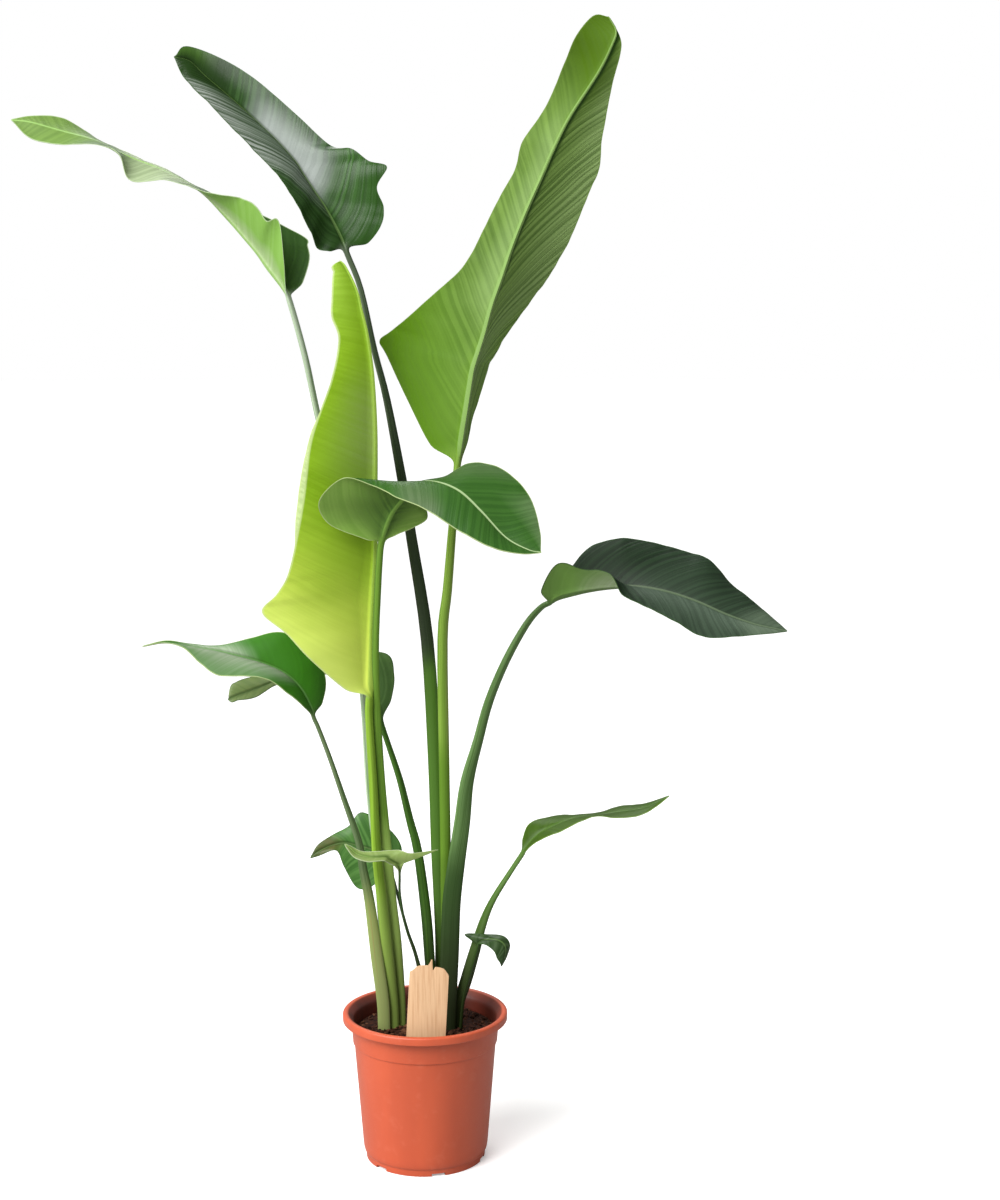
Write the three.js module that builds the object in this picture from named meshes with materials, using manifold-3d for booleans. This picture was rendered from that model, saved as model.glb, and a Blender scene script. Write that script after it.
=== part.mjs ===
// A potted giant white bird of paradise: twelve long-stalked leaves in two clumps, soil, pot and a wooden label.
// Millimetres, +Z up, origin on the pot's axis at the ground. The leaves are seen best from -Y.
import * as THREE from "three";
import { mergeVertices } from "three/addons/utils/BufferGeometryUtils.js";
import Module from "manifold-3d";

// Pot
const POT_HEIGHT = 153;
const RIM_RADIUS = 84;
const LIP_HEIGHT = 8.5;
const WALL_TOP_RADIUS = 74.2;
const WALL_BASE_RADIUS = 63.2;
const WALL_THICKNESS = 1.8;
const BAND_HEIGHT = 133;
const BAND_STEP = 0.9;
const FOOT_HEIGHT = 7;
const FOOT_RADIUS = 61.2;
const FOOT_WIDTH = 6;
const CHANNEL_DEPTH = 4;
const FLOOR_TOP = 6.4;
const CENTRE_PAD_RADIUS = 22;
const POT_SIDES = 48;
const DRAIN_COUNT = 6;
const DRAIN_RADIUS = 4.5;
const DRAIN_CIRCLE = 38;
const NOTCH_WIDTH = 14;
const NOTCH_DEPTH = 3;
const NOTCH_TURN = Math.PI / 6 + 0.25;

// Soil
const GAP = 0.4;
const SOIL_TOP = 136;
const SOIL_ROUGHNESS = 1.6;
const SOIL_SEED = 7;

// Label
const LABEL_WIDTH = 39;
const LABEL_THICKNESS = 1.6;
const LABEL_FRONT = -64;
const LABEL_CENTRE = 0.5;
const LABEL_FOOT = 100;
const LABEL_TOP = 216;
const LABEL_TILT = 0.05;

// Leaves
const PLANT_OFF_AXIS = -1.5;
const STALK_FOOT = 104;
const STALK_STRAIGHT = 138;
const BLADE_HALF_THICKNESS = 0.45;
const TIP_HALF_WIDTH = 1.3;
const RIB_AT_TIP = 0.8;

const COLOURS = {
  pot: 0xd0643f,
  soil: 0x2e1f18,
  label: 0xe0b98c,
  brightLeaf: 0x9cba3c,
  midLeaf: 0x6f9a3c,
  darkLeaf: 0x2f5a2c,
};

// Each leaf is one grown piece. Its stalk rows are x, y, z, half width and half depth, from the soil up.
// Its midrib rows are x, y, z from the blade's base to its tip. The margin rows are the steps from the
// midrib to the two edges at the same stations, base and tip left out, left and right as seen on the
// upper face with the tip up. Bow is the arch of each half between midrib and edge, over its width.
const LEAVES = [
  {
    name: "leaf_top_right",
    colour: "midLeaf",
    columns: 3,
    bow: 0.05,
    stalk: [
      [20, -1.5, 138, 4.8, 3],
      [21, -1.5, 165, 5, 3],
      [23, -1.5, 214, 5, 3.2],
      [23, -1.5, 270, 5.2, 3.4],
      [23, -2.5, 324, 5.4, 3.6],
      [22, -5, 414, 5.4, 4],
      [21, -9, 537, 5.3, 4],
      [26, -10, 587, 4.8, 3.8],
      [31, -12, 647, 4.2, 3.4],
      [35, -14, 692, 3.6, 3],
    ],
    midrib: [
      [36, -14, 708],
      [40, -16, 735],
      [45, -18, 765],
      [52, -20, 806],
      [62, -22, 837],
      [70, -25, 865],
      [80, -28.5, 893],
      [90, -32, 922],
      [103, -37, 954],
      [117, -42, 985],
      [129.5, -48, 1013],
      [142, -54, 1041],
      [164, -66, 1078],
      [175, -74, 1109],
      [173, -75.5, 1121],
      [168, -76, 1131],
    ],
    left: [
      [6, 20, -3],
      [6, 40, -10],
      [15, 62, 0],
      [19.5, 55, -5],
      [33, 45, -2],
      [39, 40, -9],
      [44, 35, -15],
      [46, 30, -18],
      [45, 25, -16],
      [43, 22, -19],
      [33, 18, -18],
      [20, 10, -7],
      [15, 5, -7],
      [11, 2.5, -3],
    ],
    right: [
      [-30, 5, -5],
      [-56, 15, 5],
      [-94, 25, 23],
      [-74, 20, 17],
      [-51, 18, 16],
      [-38, 16, 9],
      [-31, 15, 9],
      [-29, 13, 7],
      [-25, 12, 8],
      [-30, 11, 6],
      [-21, 10, 9],
      [-26, 6, 9],
      [-25, 3, 5],
      [-17, 1.5, 3],
    ],
  },
  {
    name: "leaf_front_left",
    colour: "brightLeaf",
    columns: 3,
    bow: -0.05,
    stalk: [
      [-30, -1.5, 138, 5.2, 3.4],
      [-31, -2, 165, 5.4, 3.5],
      [-37, -5, 226, 6, 4],
      [-41, -8, 271, 6.2, 4.2],
      [-46, -12, 323, 6.4, 4.2],
      [-48.5, -18, 392, 6.2, 4],
      [-51.5, -25, 459, 5.6, 3.8],
    ],
    midrib: [
      [-51, -28, 480],
      [-50, -29, 500],
      [-48.5, -30, 540],
      [-46.5, -31, 580],
      [-44, -32, 629],
      [-43, -33, 688],
      [-42.5, -33, 746],
      [-45, -32, 799],
      [-50, -30, 837],
      [-55, -28.5, 859],
      [-60, -27, 880],
      [-70, -25, 901],
      [-75, -24, 907],
    ],
    left: [
      [-20, 12, -9],
      [-50, 20, -18],
      [-88, 26, -19],
      [-82, 28, -19],
      [-79, 28, -18],
      [-66, 25, -9],
      [-37, 18, -3],
      [-22, 12, -5],
      [-20, 9, -7],
      [-18, 7, -9],
      [-8, 3, -6],
    ],
    right: [
      [-24, -9, -8],
      [-61, -20, -15],
      [-107, -23, -8],
      [-81, -22, -15],
      [-69, -19, -11],
      [-61, -17, -9],
      [-39, -12, -5],
      [-27, -8, -5],
      [-28.5, -7, -5],
      [-23.5, -6, -10],
      [-12, -3, -4],
    ],
  },
  {
    name: "leaf_top_left",
    colour: "darkLeaf",
    columns: 3,
    bow: 0.06,
    stalk: [
      [15, 5.5, 138, 5.8, 3.2],
      [16, 6, 165, 6, 3.2],
      [18, 6.5, 214, 6.2, 3.4],
      [16.5, 7, 266, 6.2, 3.6],
      [14.5, 8, 320, 6.6, 3.8],
      [12, 10, 410, 6.8, 4],
      [5, 12, 533, 6.4, 4],
      [-10, 15, 634, 5.4, 3.6],
      [-19.5, 17, 694, 4.8, 3.3],
      [-34, 19, 773, 4.3, 3],
      [-46, 21, 821, 3.8, 2.7],
      [-59, 23, 881, 3.4, 2.4],
    ],
    midrib: [
      [-72, 25, 915],
      [-78, 28, 931],
      [-85, 32, 945],
      [-96, 38, 964],
      [-110, 46, 984],
      [-125, 55, 1007],
      [-143, 64, 1027],
      [-166, 76, 1049],
      [-194, 90, 1074],
      [-220, 102, 1096],
      [-240, 110, 1112],
      [-252, 112, 1113],
    ],
    left: [
      [-11, -10, -13],
      [-16, -15, -24],
      [-10, -30, -28],
      [-6, -42, -27],
      [-7, -42, -24],
      [-8, -38, -23],
      [-10, -34, -20],
      [-15.5, -28, -11],
      [-16, -18, -7],
      [-8, -8, -8],
    ],
    right: [
      [26, -8, -7],
      [46, -12, -3],
      [60, -15, 0],
      [75, -20, 12],
      [56, -20, 10],
      [48, -18, 0],
      [41, -15, 7],
      [30, -12, 14],
      [20, -8, 15],
      [9, -4, 14],
    ],
  },
  {
    name: "leaf_far_left",
    colour: "brightLeaf",
    columns: 3,
    bow: -0.05,
    stalk: [
      [-38, 2, 138, 4.2, 2.8],
      [-38, 2.5, 165, 4.2, 2.8],
      [-41, 4, 222, 4, 3],
      [-44, 6, 267, 3.8, 3],
      [-48, 9, 317, 3.6, 3],
      [-55, 12, 385, 3.4, 2.8],
      [-60, 15, 472, 3, 2.6],
      [-70, 18, 573, 3, 2.6],
      [-85, 20, 674, 3.8, 2.5],
      [-104, 21, 763, 4.3, 2.5],
      [-115, 21, 817, 4.3, 2.5],
    ],
    midrib: [
      [-129, 22, 869],
      [-135, 24, 882],
      [-151, 26, 903],
      [-160, 27, 916],
      [-170, 28, 928],
      [-192, 30, 953],
      [-217, 32, 978],
      [-251, 34, 997],
      [-281, 36, 1009],
      [-299, 37, 1017],
      [-320, 38, 1027],
      [-354, 38, 1036],
      [-383, 38, 1044],
      [-401, 38, 1046],
    ],
    left: [
      [2, -15, 26],
      [14, -22, 44],
      [11, -23, 31],
      [10, -24, 34],
      [17, -22, 16],
      [8, -22, -3],
      [6, -22, -11],
      [-1, -20, -23],
      [5, -19, -5],
      [3, -18, -6],
      [5, -14, -15],
      [2, -8, -17],
    ],
    right: [
      [18, 8, 6],
      [40, 16, 7],
      [47, 20, 8],
      [51, 22, 7],
      [13, 24, 11],
      [-1, 26, 2.5],
      [-1, 26, 2],
      [-4, 24, 4],
      [-4, 22, 4],
      [-4, 20, 4],
      [1, 16, 13],
      [2, 8, 7],
    ],
  },
  {
    name: "leaf_arching_centre",
    colour: "midLeaf",
    columns: 3,
    bow: 0.05,
    stalk: [
      [-22.5, 4.5, 138, 4, 2.8],
      [-23, 4, 165, 4.2, 2.8],
      [-27, 3, 223, 4.8, 3.2],
      [-31, 1, 268, 4.5, 3.2],
      [-34, -4, 321, 4, 3],
      [-38.5, -12, 390, 3.6, 2.8],
      [-41.5, -22, 459, 3.3, 2.5],
      [-42, -33, 530, 2.6, 2.4],
      [-40, -43, 591, 2.6, 2.4],
      [-38, -49, 622, 2.8, 2.4],
    ],
    midrib: [
      [-37, -51, 636],
      [-33, -55, 651],
      [-25, -63, 669],
      [-15, -75, 682],
      [-7, -82.5, 692],
      [1, -90, 700],
      [20, -104, 701],
      [41, -116, 693],
      [61, -126, 675],
      [83, -134, 652],
      [104, -140, 641],
      [115, -142, 639],
    ],
    left: [
      [10, 5, -6],
      [20, 15, -16],
      [23, 25, -20],
      [12, 35, -13],
      [9, 38, -7],
      [5, 42, 1],
      [7, 44, 23],
      [17, 42, 38],
      [22, 29, 37],
      [11, 15, 17],
    ],
    right: [
      [-18, -3, -9],
      [-61, -3, -11],
      [-79, -1, -1],
      [-63, -2, 11],
      [-41, -7, -4],
      [-37, -11, -14],
      [-29, -16, -17],
      [-18, -16, -18],
      [-10, -14, -9],
      [-7, -7, -3],
    ],
  },
  {
    name: "leaf_right",
    colour: "darkLeaf",
    columns: 3,
    bow: 0.06,
    stalk: [
      [24, -8.5, 138, 9, 2.5],
      [25, -8.6, 165, 9, 2.6],
      [27, -9, 214, 9.4, 2.7],
      [29, -9.5, 267, 9.5, 2.9],
      [34, -8.5, 309, 9.2, 3.2],
      [40, -6, 351, 8.8, 3.6],
      [45, -3, 392, 7.8, 4],
      [56, 0, 433, 6, 4],
      [67, 2, 473, 5.6, 3.8],
      [84, 3, 514, 5.2, 3.6],
      [104, 4, 550, 4.8, 3.2],
      [118.5, 5, 567, 4.4, 2.8],
    ],
    midrib: [
      [127, 5, 572],
      [134, 0, 577],
      [145, -5, 581],
      [167, -12, 587],
      [191, -20, 591],
      [215, -28, 592],
      [242, -36, 588],
      [269, -44, 580],
      [296, -52, 569],
      [323, -58, 560],
      [343, -62, 556],
      [354, -64, 554],
    ],
    left: [
      [0, 12, 7],
      [3, 27, 22],
      [1, 34, 39],
      [5, 38, 44],
      [10, 40, 41],
      [15, 41, 37],
      [15, 39, 37],
      [10, 34, 25],
      [6, 23, 16],
      [3, 10, 6],
    ],
    right: [
      [-20, -14, 8],
      [-20, -20, 28],
      [-11, -28, 27],
      [-7, -32, 17],
      [-18, -34, -4],
      [-20, -34, -11],
      [-20, -32, -17],
      [-21, -26, -19],
      [-15, -18, -9],
      [-8, -8, -4],
    ],
  },
  {
    name: "leaf_lower_left",
    colour: "midLeaf",
    columns: 3,
    bow: 0.08,
    stalk: [
      [-40, -8, 138, 6.4, 2.4],
      [-41, -8, 165, 6.4, 2.4],
      [-47, -8, 213, 6.2, 2.6],
      [-54, -7, 270, 5.2, 2.8],
      [-60, -5, 301, 4.4, 2.8],
      [-65, -2, 331, 3.8, 2.8],
      [-79, 4, 371, 3, 2.4],
      [-93, 10, 411, 2.5, 2.2],
      [-105, 15, 442, 2.3, 2],
    ],
    midrib: [
      [-110, 17, 453],
      [-114, 17, 466],
      [-124, 18, 484],
      [-140, 19, 499],
      [-162, 20, 509],
      [-186, 20, 516],
      [-210, 19, 522],
      [-234, 18, 526],
      [-258, 16, 530],
      [-280, 14, 527],
    ],
    left: [
      [-6, -11, 1],
      [-10, -18, -3],
      [-12, -23, -4],
      [-13, -26, -9],
      [-17, -24, -16],
      [-13, -15, -10],
      [-7, -6, 0],
      [-3, -2, 0],
    ],
    right: [
      [12, 9, 1],
      [25, 16, 5],
      [31, 19, 14],
      [21, 18, 28],
      [11, 14, 16],
      [3, 11, 3],
      [-1, 6, 2],
      [0, 2, 2],
    ],
  },
  {
    name: "leaf_behind_left",
    colour: "darkLeaf",
    columns: 2,
    bow: 0.05,
    stalk: [
      [9, -3, 138, 4.4, 3],
      [8.5, -3, 165, 4.8, 3],
      [6, -2, 214, 5.4, 3.2],
      [2.5, 1, 258, 5.4, 3.4],
      [-5.5, 11, 316, 4.8, 3.2],
      [-14, 18, 348, 4.2, 3],
      [-24, 29, 386, 3.7, 2.6],
      [-37, 40, 423, 3.1, 2.4],
    ],
    midrib: [
      [-44, 46, 443],
      [-47, 50, 460],
      [-64, 56, 477],
      [-89, 60, 489],
      [-116, 62, 492],
      [-144, 62, 486],
      [-171, 60, 476],
      [-194, 57, 468],
      [-201, 56, 465],
    ],
    left: [
      [-6, -10, 3],
      [-5, -16, 3],
      [-5, -16, 7],
      [-6, -14, -9],
      [-7, -12, -5],
      [-1, -8, -8],
      [2, -3, -4],
    ],
    right: [
      [13, 6, 4],
      [33, 8, 12],
      [48, 10, 22],
      [23, 12, 16],
      [10, 12, 13],
      [3, 10, 13],
      [-1, 7, 13],
    ],
  },
  {
    name: "leaf_low_dark",
    colour: "darkLeaf",
    columns: 2,
    bow: 0.05,
    stalk: [
      [0, -9, 138, 2, 1.8],
      [-2, -9, 182, 2, 1.8],
      [-7, -6, 211, 1.9, 1.7],
      [-16, 4, 234, 1.7, 1.5],
      [-24, 16, 259, 1.5, 1.4],
    ],
    midrib: [
      [-33, 30, 287],
      [-40, 34, 301],
      [-54, 37, 311],
      [-68, 38, 315],
      [-82, 38, 318],
      [-95, 36, 316],
      [-109, 33, 310],
      [-116, 31, 305],
    ],
    left: [
      [-2, -10, -16],
      [-1, -17, -35],
      [-1, -18, -39],
      [0, -14, -21],
      [5, -6, -4],
      [1, -2, -4],
    ],
    right: [
      [17, 4, 10],
      [18, 7, 20],
      [4, 10, 33],
      [4, 8, 16],
      [1, 6, 10],
      [0, 3, 7],
    ],
  },
  {
    name: "leaf_low_pale",
    colour: "brightLeaf",
    columns: 2,
    bow: 0.04,
    stalk: [
      [3, -13, 138, 1.8, 1.6],
      [4, -14, 158, 1.8, 1.6],
      [1, -15, 184, 1.7, 1.5],
      [-6, -18, 214, 1.6, 1.4],
      [-17, -24, 250, 1.4, 1.3],
      [-22, -29, 282, 1.3, 1.2],
    ],
    midrib: [
      [-22, -32, 302],
      [-24, -34, 315],
      [-36, -37, 323],
      [-51, -39, 323],
      [-64, -38, 326],
      [-72, -34, 332],
      [-76, -30, 334],
    ],
    left: [
      [-3, -6, -4],
      [-2, -11, -2],
      [-1, -11, -2],
      [-2, -8, -1],
      [-2, -4, 0],
    ],
    right: [
      [39, -4, 16],
      [15, 3, 6],
      [5, 5, 5],
      [4, 5, 2],
      [1, 3, 1],
    ],
  },
  {
    name: "leaf_low_right",
    colour: "midLeaf",
    columns: 2,
    bow: 0.05,
    stalk: [
      [34, 0, 138, 5.4, 3.8],
      [36, 0, 160, 5.6, 3.8],
      [43.5, -1, 185, 6.2, 3.8],
      [52.5, -3, 217, 6, 3.6],
      [61.5, -3, 248, 5, 3],
      [72, -4, 272, 3.8, 2.6],
      [90.5, -4, 302, 3.2, 2.1],
    ],
    midrib: [
      [100, -5, 317],
      [105, -6, 326],
      [118, -8, 340],
      [138, -10, 351],
      [158, -12, 358],
      [176, -14, 360],
      [198, -16, 364],
      [220, -18, 368],
      [236, -20, 376],
      [246, -21, 381],
    ],
    left: [
      [-4, 8, 6],
      [-9, 16, 7],
      [-4, 22, 2],
      [-1, 24, -4],
      [1, 22, -3],
      [3, 18, 2],
      [1, 14, 1],
      [1, 8, 0],
    ],
    right: [
      [4, -8, 2],
      [3, -14, -2],
      [-1, -18, -5],
      [-1, -18, -1],
      [-1, -18, 3],
      [-1, -18, -2],
      [-3, -14, -4],
      [-2, -6, -4],
    ],
  },
  {
    name: "leaf_low_folded",
    colour: "darkLeaf",
    columns: 2,
    bow: 0.03,
    stalk: [
      [38, -8, 138, 1.7, 1.5],
      [41, -8, 167, 1.6, 1.4],
      [48, -9, 196, 1.5, 1.3],
      [52, -10, 211, 1.4, 1.2],
    ],
    midrib: [
      [55, -11, 222],
      [58, -12, 229],
      [67, -15, 232],
      [77, -19, 232],
      [83, -22, 227],
      [83, -24, 218],
      [80, -25, 208],
    ],
    left: [
      [-16, 4, 6],
      [-2, 7, 3],
      [4, 9, 2],
      [5, 6, 0],
      [2, 3, -2],
    ],
    right: [
      [-2, -4, -2],
      [-3, -7, -4],
      [-5, -8, -9],
      [-8, -6, -11],
      [-5, -3, -7],
    ],
  },
];

// Rings per row of a table, along the stalk and along the blade
const STALK_STEPS = 2;
const BLADE_STEPS = 2;

const wasm = await Module();
wasm.setup();

function vector(row) {
  return new THREE.Vector3(row[0], row[1], row[2]);
}

// A smooth line through every row. It runs straight on past its two ends.
function lineThrough(rows) {
  return new THREE.CatmullRomCurve3(rows.map(vector), false, "catmullrom", 0.5);
}

// A triangle mesh from rings of equal length, closed by a fan at each end.
function loft(rings) {
  const count = rings[0].length;
  const positions = [];
  const index = [];
  for (const ring of rings) {
    for (const point of ring) positions.push(point.x, point.y, point.z);
  }
  for (let i = 0; i + 1 < rings.length; i += 1) {
    for (let j = 0; j < count; j += 1) {
      const next = (j + 1) % count;
      const a = i * count + j;
      const b = i * count + next;
      const c = a + count;
      const d = b + count;
      // The lower face mirrors the upper one, so both are split along the same diagonals.
      if (j < count / 2) {
        index.push(a, b, d, a, d, c);
      } else {
        index.push(a, b, c, b, d, c);
      }
    }
  }
  const last = (rings.length - 1) * count;
  for (let j = 0; j < count / 2 - 1; j += 1) {
    const k = count - 1 - j;
    index.push(j, k, j + 1, j + 1, k, k - 1);
    index.push(last + j, last + j + 1, last + k, last + j + 1, last + k - 1, last + k);
  }
  const geometry = new THREE.BufferGeometry();
  geometry.setAttribute("position", new THREE.Float32BufferAttribute(positions, 3));
  geometry.setIndex(index);
  return geometry;
}

function signedVolume(geometry) {
  const p = geometry.getAttribute("position");
  const index = geometry.getIndex();
  const a = new THREE.Vector3();
  const b = new THREE.Vector3();
  const c = new THREE.Vector3();
  let sum = 0;
  for (let i = 0; i < index.count; i += 3) {
    a.fromBufferAttribute(p, index.getX(i));
    b.fromBufferAttribute(p, index.getX(i + 1));
    c.fromBufferAttribute(p, index.getX(i + 2));
    sum += a.dot(b.cross(c)) / 6;
  }
  return sum;
}

function facingOut(geometry) {
  if (signedVolume(geometry) < 0) {
    const index = geometry.getIndex();
    for (let i = 0; i < index.count; i += 3) {
      const held = index.getX(i + 1);
      index.setX(i + 1, index.getX(i + 2));
      index.setX(i + 2, held);
    }
  }
  return geometry;
}

// The oval section of a stalk, its points in the order of a blade's: upper face left to right, then back.
function stalkRing(centre, along, side, halfWidth, halfDepth, columns) {
  const across = side.clone().addScaledVector(along, -side.dot(along)).normalize();
  const up = new THREE.Vector3().crossVectors(across, along).normalize();
  const turn = Math.PI / (2 * columns + 1);
  const ring = [];
  const place = (angle) =>
    centre
      .clone()
      .addScaledVector(across, halfWidth * Math.cos(angle))
      .addScaledVector(up, halfDepth * Math.sin(angle));
  for (let j = -columns; j <= columns; j += 1) ring.push(place(Math.PI / 2 - j * turn));
  for (let j = columns; j >= -columns; j -= 1) ring.push(place(j * turn - Math.PI / 2));
  return ring;
}

function smooth(t) {
  const x = Math.min(Math.max(t, 0), 1);
  return x * x * (3 - 2 * x);
}

// The places, from midrib to edge, of a half blade's rows: the midrib's own width first.
function shares(columns, ribShare) {
  const list = [0, ribShare];
  for (let j = 2; j <= columns; j += 1) {
    list.push(ribShare + ((1 - ribShare) * (j - 1)) / (columns - 1));
  }
  return list;
}

function stalkSide(leaf) {
  const top = vector(leaf.right[0]).sub(vector(leaf.left[0])).normalize();
  const foot = new THREE.Vector3(top.x < 0 ? -1 : 1, 0, 0);
  return { top, foot };
}

// Every ring of a leaf, from inside the soil to the blade's tip.
function leafRings(leaf) {
  const { stalk, midrib, columns } = leaf;
  const rows = [...stalk, ...midrib].map(([x, y, z]) => [x + PLANT_OFF_AXIS, y, z]);
  const path = lineThrough(rows);
  const widths = lineThrough(stalk.map((row) => [row[3], row[4], 0]));
  const total = stalk.length + midrib.length - 1;
  const { top, foot } = stalkSide(leaf);
  const [, , , footWidth, footDepth] = stalk[0];
  const [, , , neckWidth, neckDepth] = stalk[stalk.length - 1];
  const rings = [];

  const upright = new THREE.Vector3(0, 0, 1);
  const low = new THREE.Vector3(rows[0][0], rows[0][1], STALK_FOOT);
  rings.push(stalkRing(low, upright, foot, footWidth, footDepth, columns));
  const stalkRings = (stalk.length - 1) * STALK_STEPS;
  for (let i = 0; i <= stalkRings; i += 1) {
    const t = i / stalkRings;
    const along = i === 0 ? upright : path.getTangent((i / STALK_STEPS) / total);
    const side = foot.clone().lerp(top, smooth(t)).normalize();
    const size = widths.getPoint(t);
    const centre = path.getPoint((i / STALK_STEPS) / total);
    rings.push(stalkRing(centre, along, side, size.x, size.y, columns));
  }

  const neckSide = top.clone().multiplyScalar(neckWidth);
  const tipSide = vector(leaf.right[leaf.right.length - 1])
    .sub(vector(leaf.left[leaf.left.length - 1]))
    .normalize()
    .multiplyScalar(TIP_HALF_WIDTH);
  const edges = {
    left: lineThrough([
      neckSide.clone().negate().toArray(),
      ...leaf.left,
      tipSide.clone().negate().toArray(),
    ]),
    right: lineThrough([neckSide.toArray(), ...leaf.right, tipSide.toArray()]),
  };

  const bladeRings = (midrib.length - 1) * BLADE_STEPS;
  const sheet = [];
  for (let i = 0; i <= bladeRings; i += 1) {
    const t = i / bladeRings;
    const u = (stalk.length + i / BLADE_STEPS) / total;
    const centre = path.getPoint(u);
    const along = path.getTangent(u);
    const ribHalf = neckWidth * (1 - t) + RIB_AT_TIP * t;
    const row = [];
    for (const [name, sign] of [
      ["left", -1],
      ["right", 1],
    ]) {
      const out = edges[name].getPoint(t);
      const length = out.length();
      const up = new THREE.Vector3().crossVectors(out, along).multiplyScalar(sign).normalize();
      const part = shares(columns, Math.min(ribHalf / length, 0.4));
      for (let j = name === "left" ? columns : 0; j >= 0 && j <= columns; j -= -sign) {
        if (name === "right" && j === 0) continue;
        const q = part[j];
        const arch = leaf.bow * length * 4 * q * (1 - q);
        row.push(centre.clone().addScaledVector(out, q).addScaledVector(up, arch));
      }
    }
    sheet.push(row);
  }

  const normals = sheetNormals(sheet);
  for (let i = 0; i <= bladeRings; i += 1) {
    const t = i / bladeRings;
    const u = (stalk.length + i / BLADE_STEPS) / total;
    const ribDepth = neckDepth * (1 - t) + RIB_AT_TIP * t;
    const ring = [];
    const under = [];
    sheet[i].forEach((point, j) => {
      const n = normals[i][j];
      ring.push(point.clone().addScaledVector(n, BLADE_HALF_THICKNESS));
      const depth = j === columns ? Math.max(ribDepth, BLADE_HALF_THICKNESS) : BLADE_HALF_THICKNESS;
      under.unshift(point.clone().addScaledVector(n, -depth));
    });
    ring.push(...under);
    const blend = smooth(i / BLADE_STEPS);
    if (blend < 1) {
      const round = stalkRing(path.getPoint(u), path.getTangent(u), top, neckWidth, neckDepth, columns);
      ring.forEach((point, j) => point.lerp(round[j], 1 - blend));
    }
    rings.push(ring);
  }
  return rings;
}

// The unit normal of a grid of points at each point, on its upper side.
function sheetNormals(sheet) {
  const rows = sheet.length;
  const columns = sheet[0].length;
  const sums = sheet.map((row) => row.map(() => new THREE.Vector3()));
  for (let i = 0; i + 1 < rows; i += 1) {
    for (let j = 0; j + 1 < columns; j += 1) {
      const across = sheet[i][j + 1].clone().sub(sheet[i][j]);
      across.add(sheet[i + 1][j + 1]).sub(sheet[i + 1][j]);
      const along = sheet[i + 1][j].clone().sub(sheet[i][j]);
      along.add(sheet[i + 1][j + 1]).sub(sheet[i][j + 1]);
      const n = new THREE.Vector3().crossVectors(across, along).normalize();
      for (const [k, l] of [
        [i, j],
        [i + 1, j],
        [i, j + 1],
        [i + 1, j + 1],
      ]) {
        sums[k][l].add(n);
      }
    }
  }
  return sums.map((row) => row.map((n) => n.normalize()));
}

// The hole that a stalk needs in the soil: its lowest part, a little larger all round.
function stalkHole(leaf) {
  const { foot } = stalkSide(leaf);
  const [x, y, , halfWidth, halfDepth] = leaf.stalk[0];
  const upright = new THREE.Vector3(0, 0, 1);
  const ringAt = (z) =>
    stalkRing(
      new THREE.Vector3(x + PLANT_OFF_AXIS, y, z),
      upright,
      foot,
      halfWidth + GAP * 1.15,
      halfDepth + GAP * 1.15,
      leaf.columns,
    );
  return loft([ringAt(STALK_FOOT - GAP), ringAt(STALK_STRAIGHT + 10)]);
}

function solid(geometry) {
  const plain = facingOut(geometry.index ? geometry : mergeVertices(geometry)).clone();
  plain.deleteAttribute("normal");
  plain.deleteAttribute("uv");
  const merged = mergeVertices(plain, 1e-4);
  return new wasm.Manifold(
    new wasm.Mesh({
      numProp: 3,
      vertProperties: new Float32Array(merged.getAttribute("position").array),
      triVerts: new Uint32Array(merged.getIndex().array),
    }),
  );
}

function meshGeometry(body) {
  const { numProp, vertProperties, triVerts } = body.getMesh();
  const positions = [];
  for (let i = 0; i < vertProperties.length; i += numProp) {
    positions.push(vertProperties[i], vertProperties[i + 1], vertProperties[i + 2]);
  }
  const geometry = new THREE.BufferGeometry();
  geometry.setAttribute("position", new THREE.Float32BufferAttribute(positions, 3));
  geometry.setIndex(new THREE.BufferAttribute(new Uint32Array(triVerts), 1));
  return geometry;
}

function turned(profile, sides) {
  const geometry = new THREE.LatheGeometry(
    profile.map(([r, z]) => new THREE.Vector2(r, z)),
    sides,
  );
  return geometry.rotateX(Math.PI / 2);
}

function wallRadius(z) {
  const share = (z - FOOT_HEIGHT) / (POT_HEIGHT - LIP_HEIGHT - FOOT_HEIGHT);
  return WALL_BASE_RADIUS + (WALL_TOP_RADIUS - WALL_BASE_RADIUS) * share;
}

function innerRadius(z) {
  return wallRadius(z) - WALL_THICKNESS;
}

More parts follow.
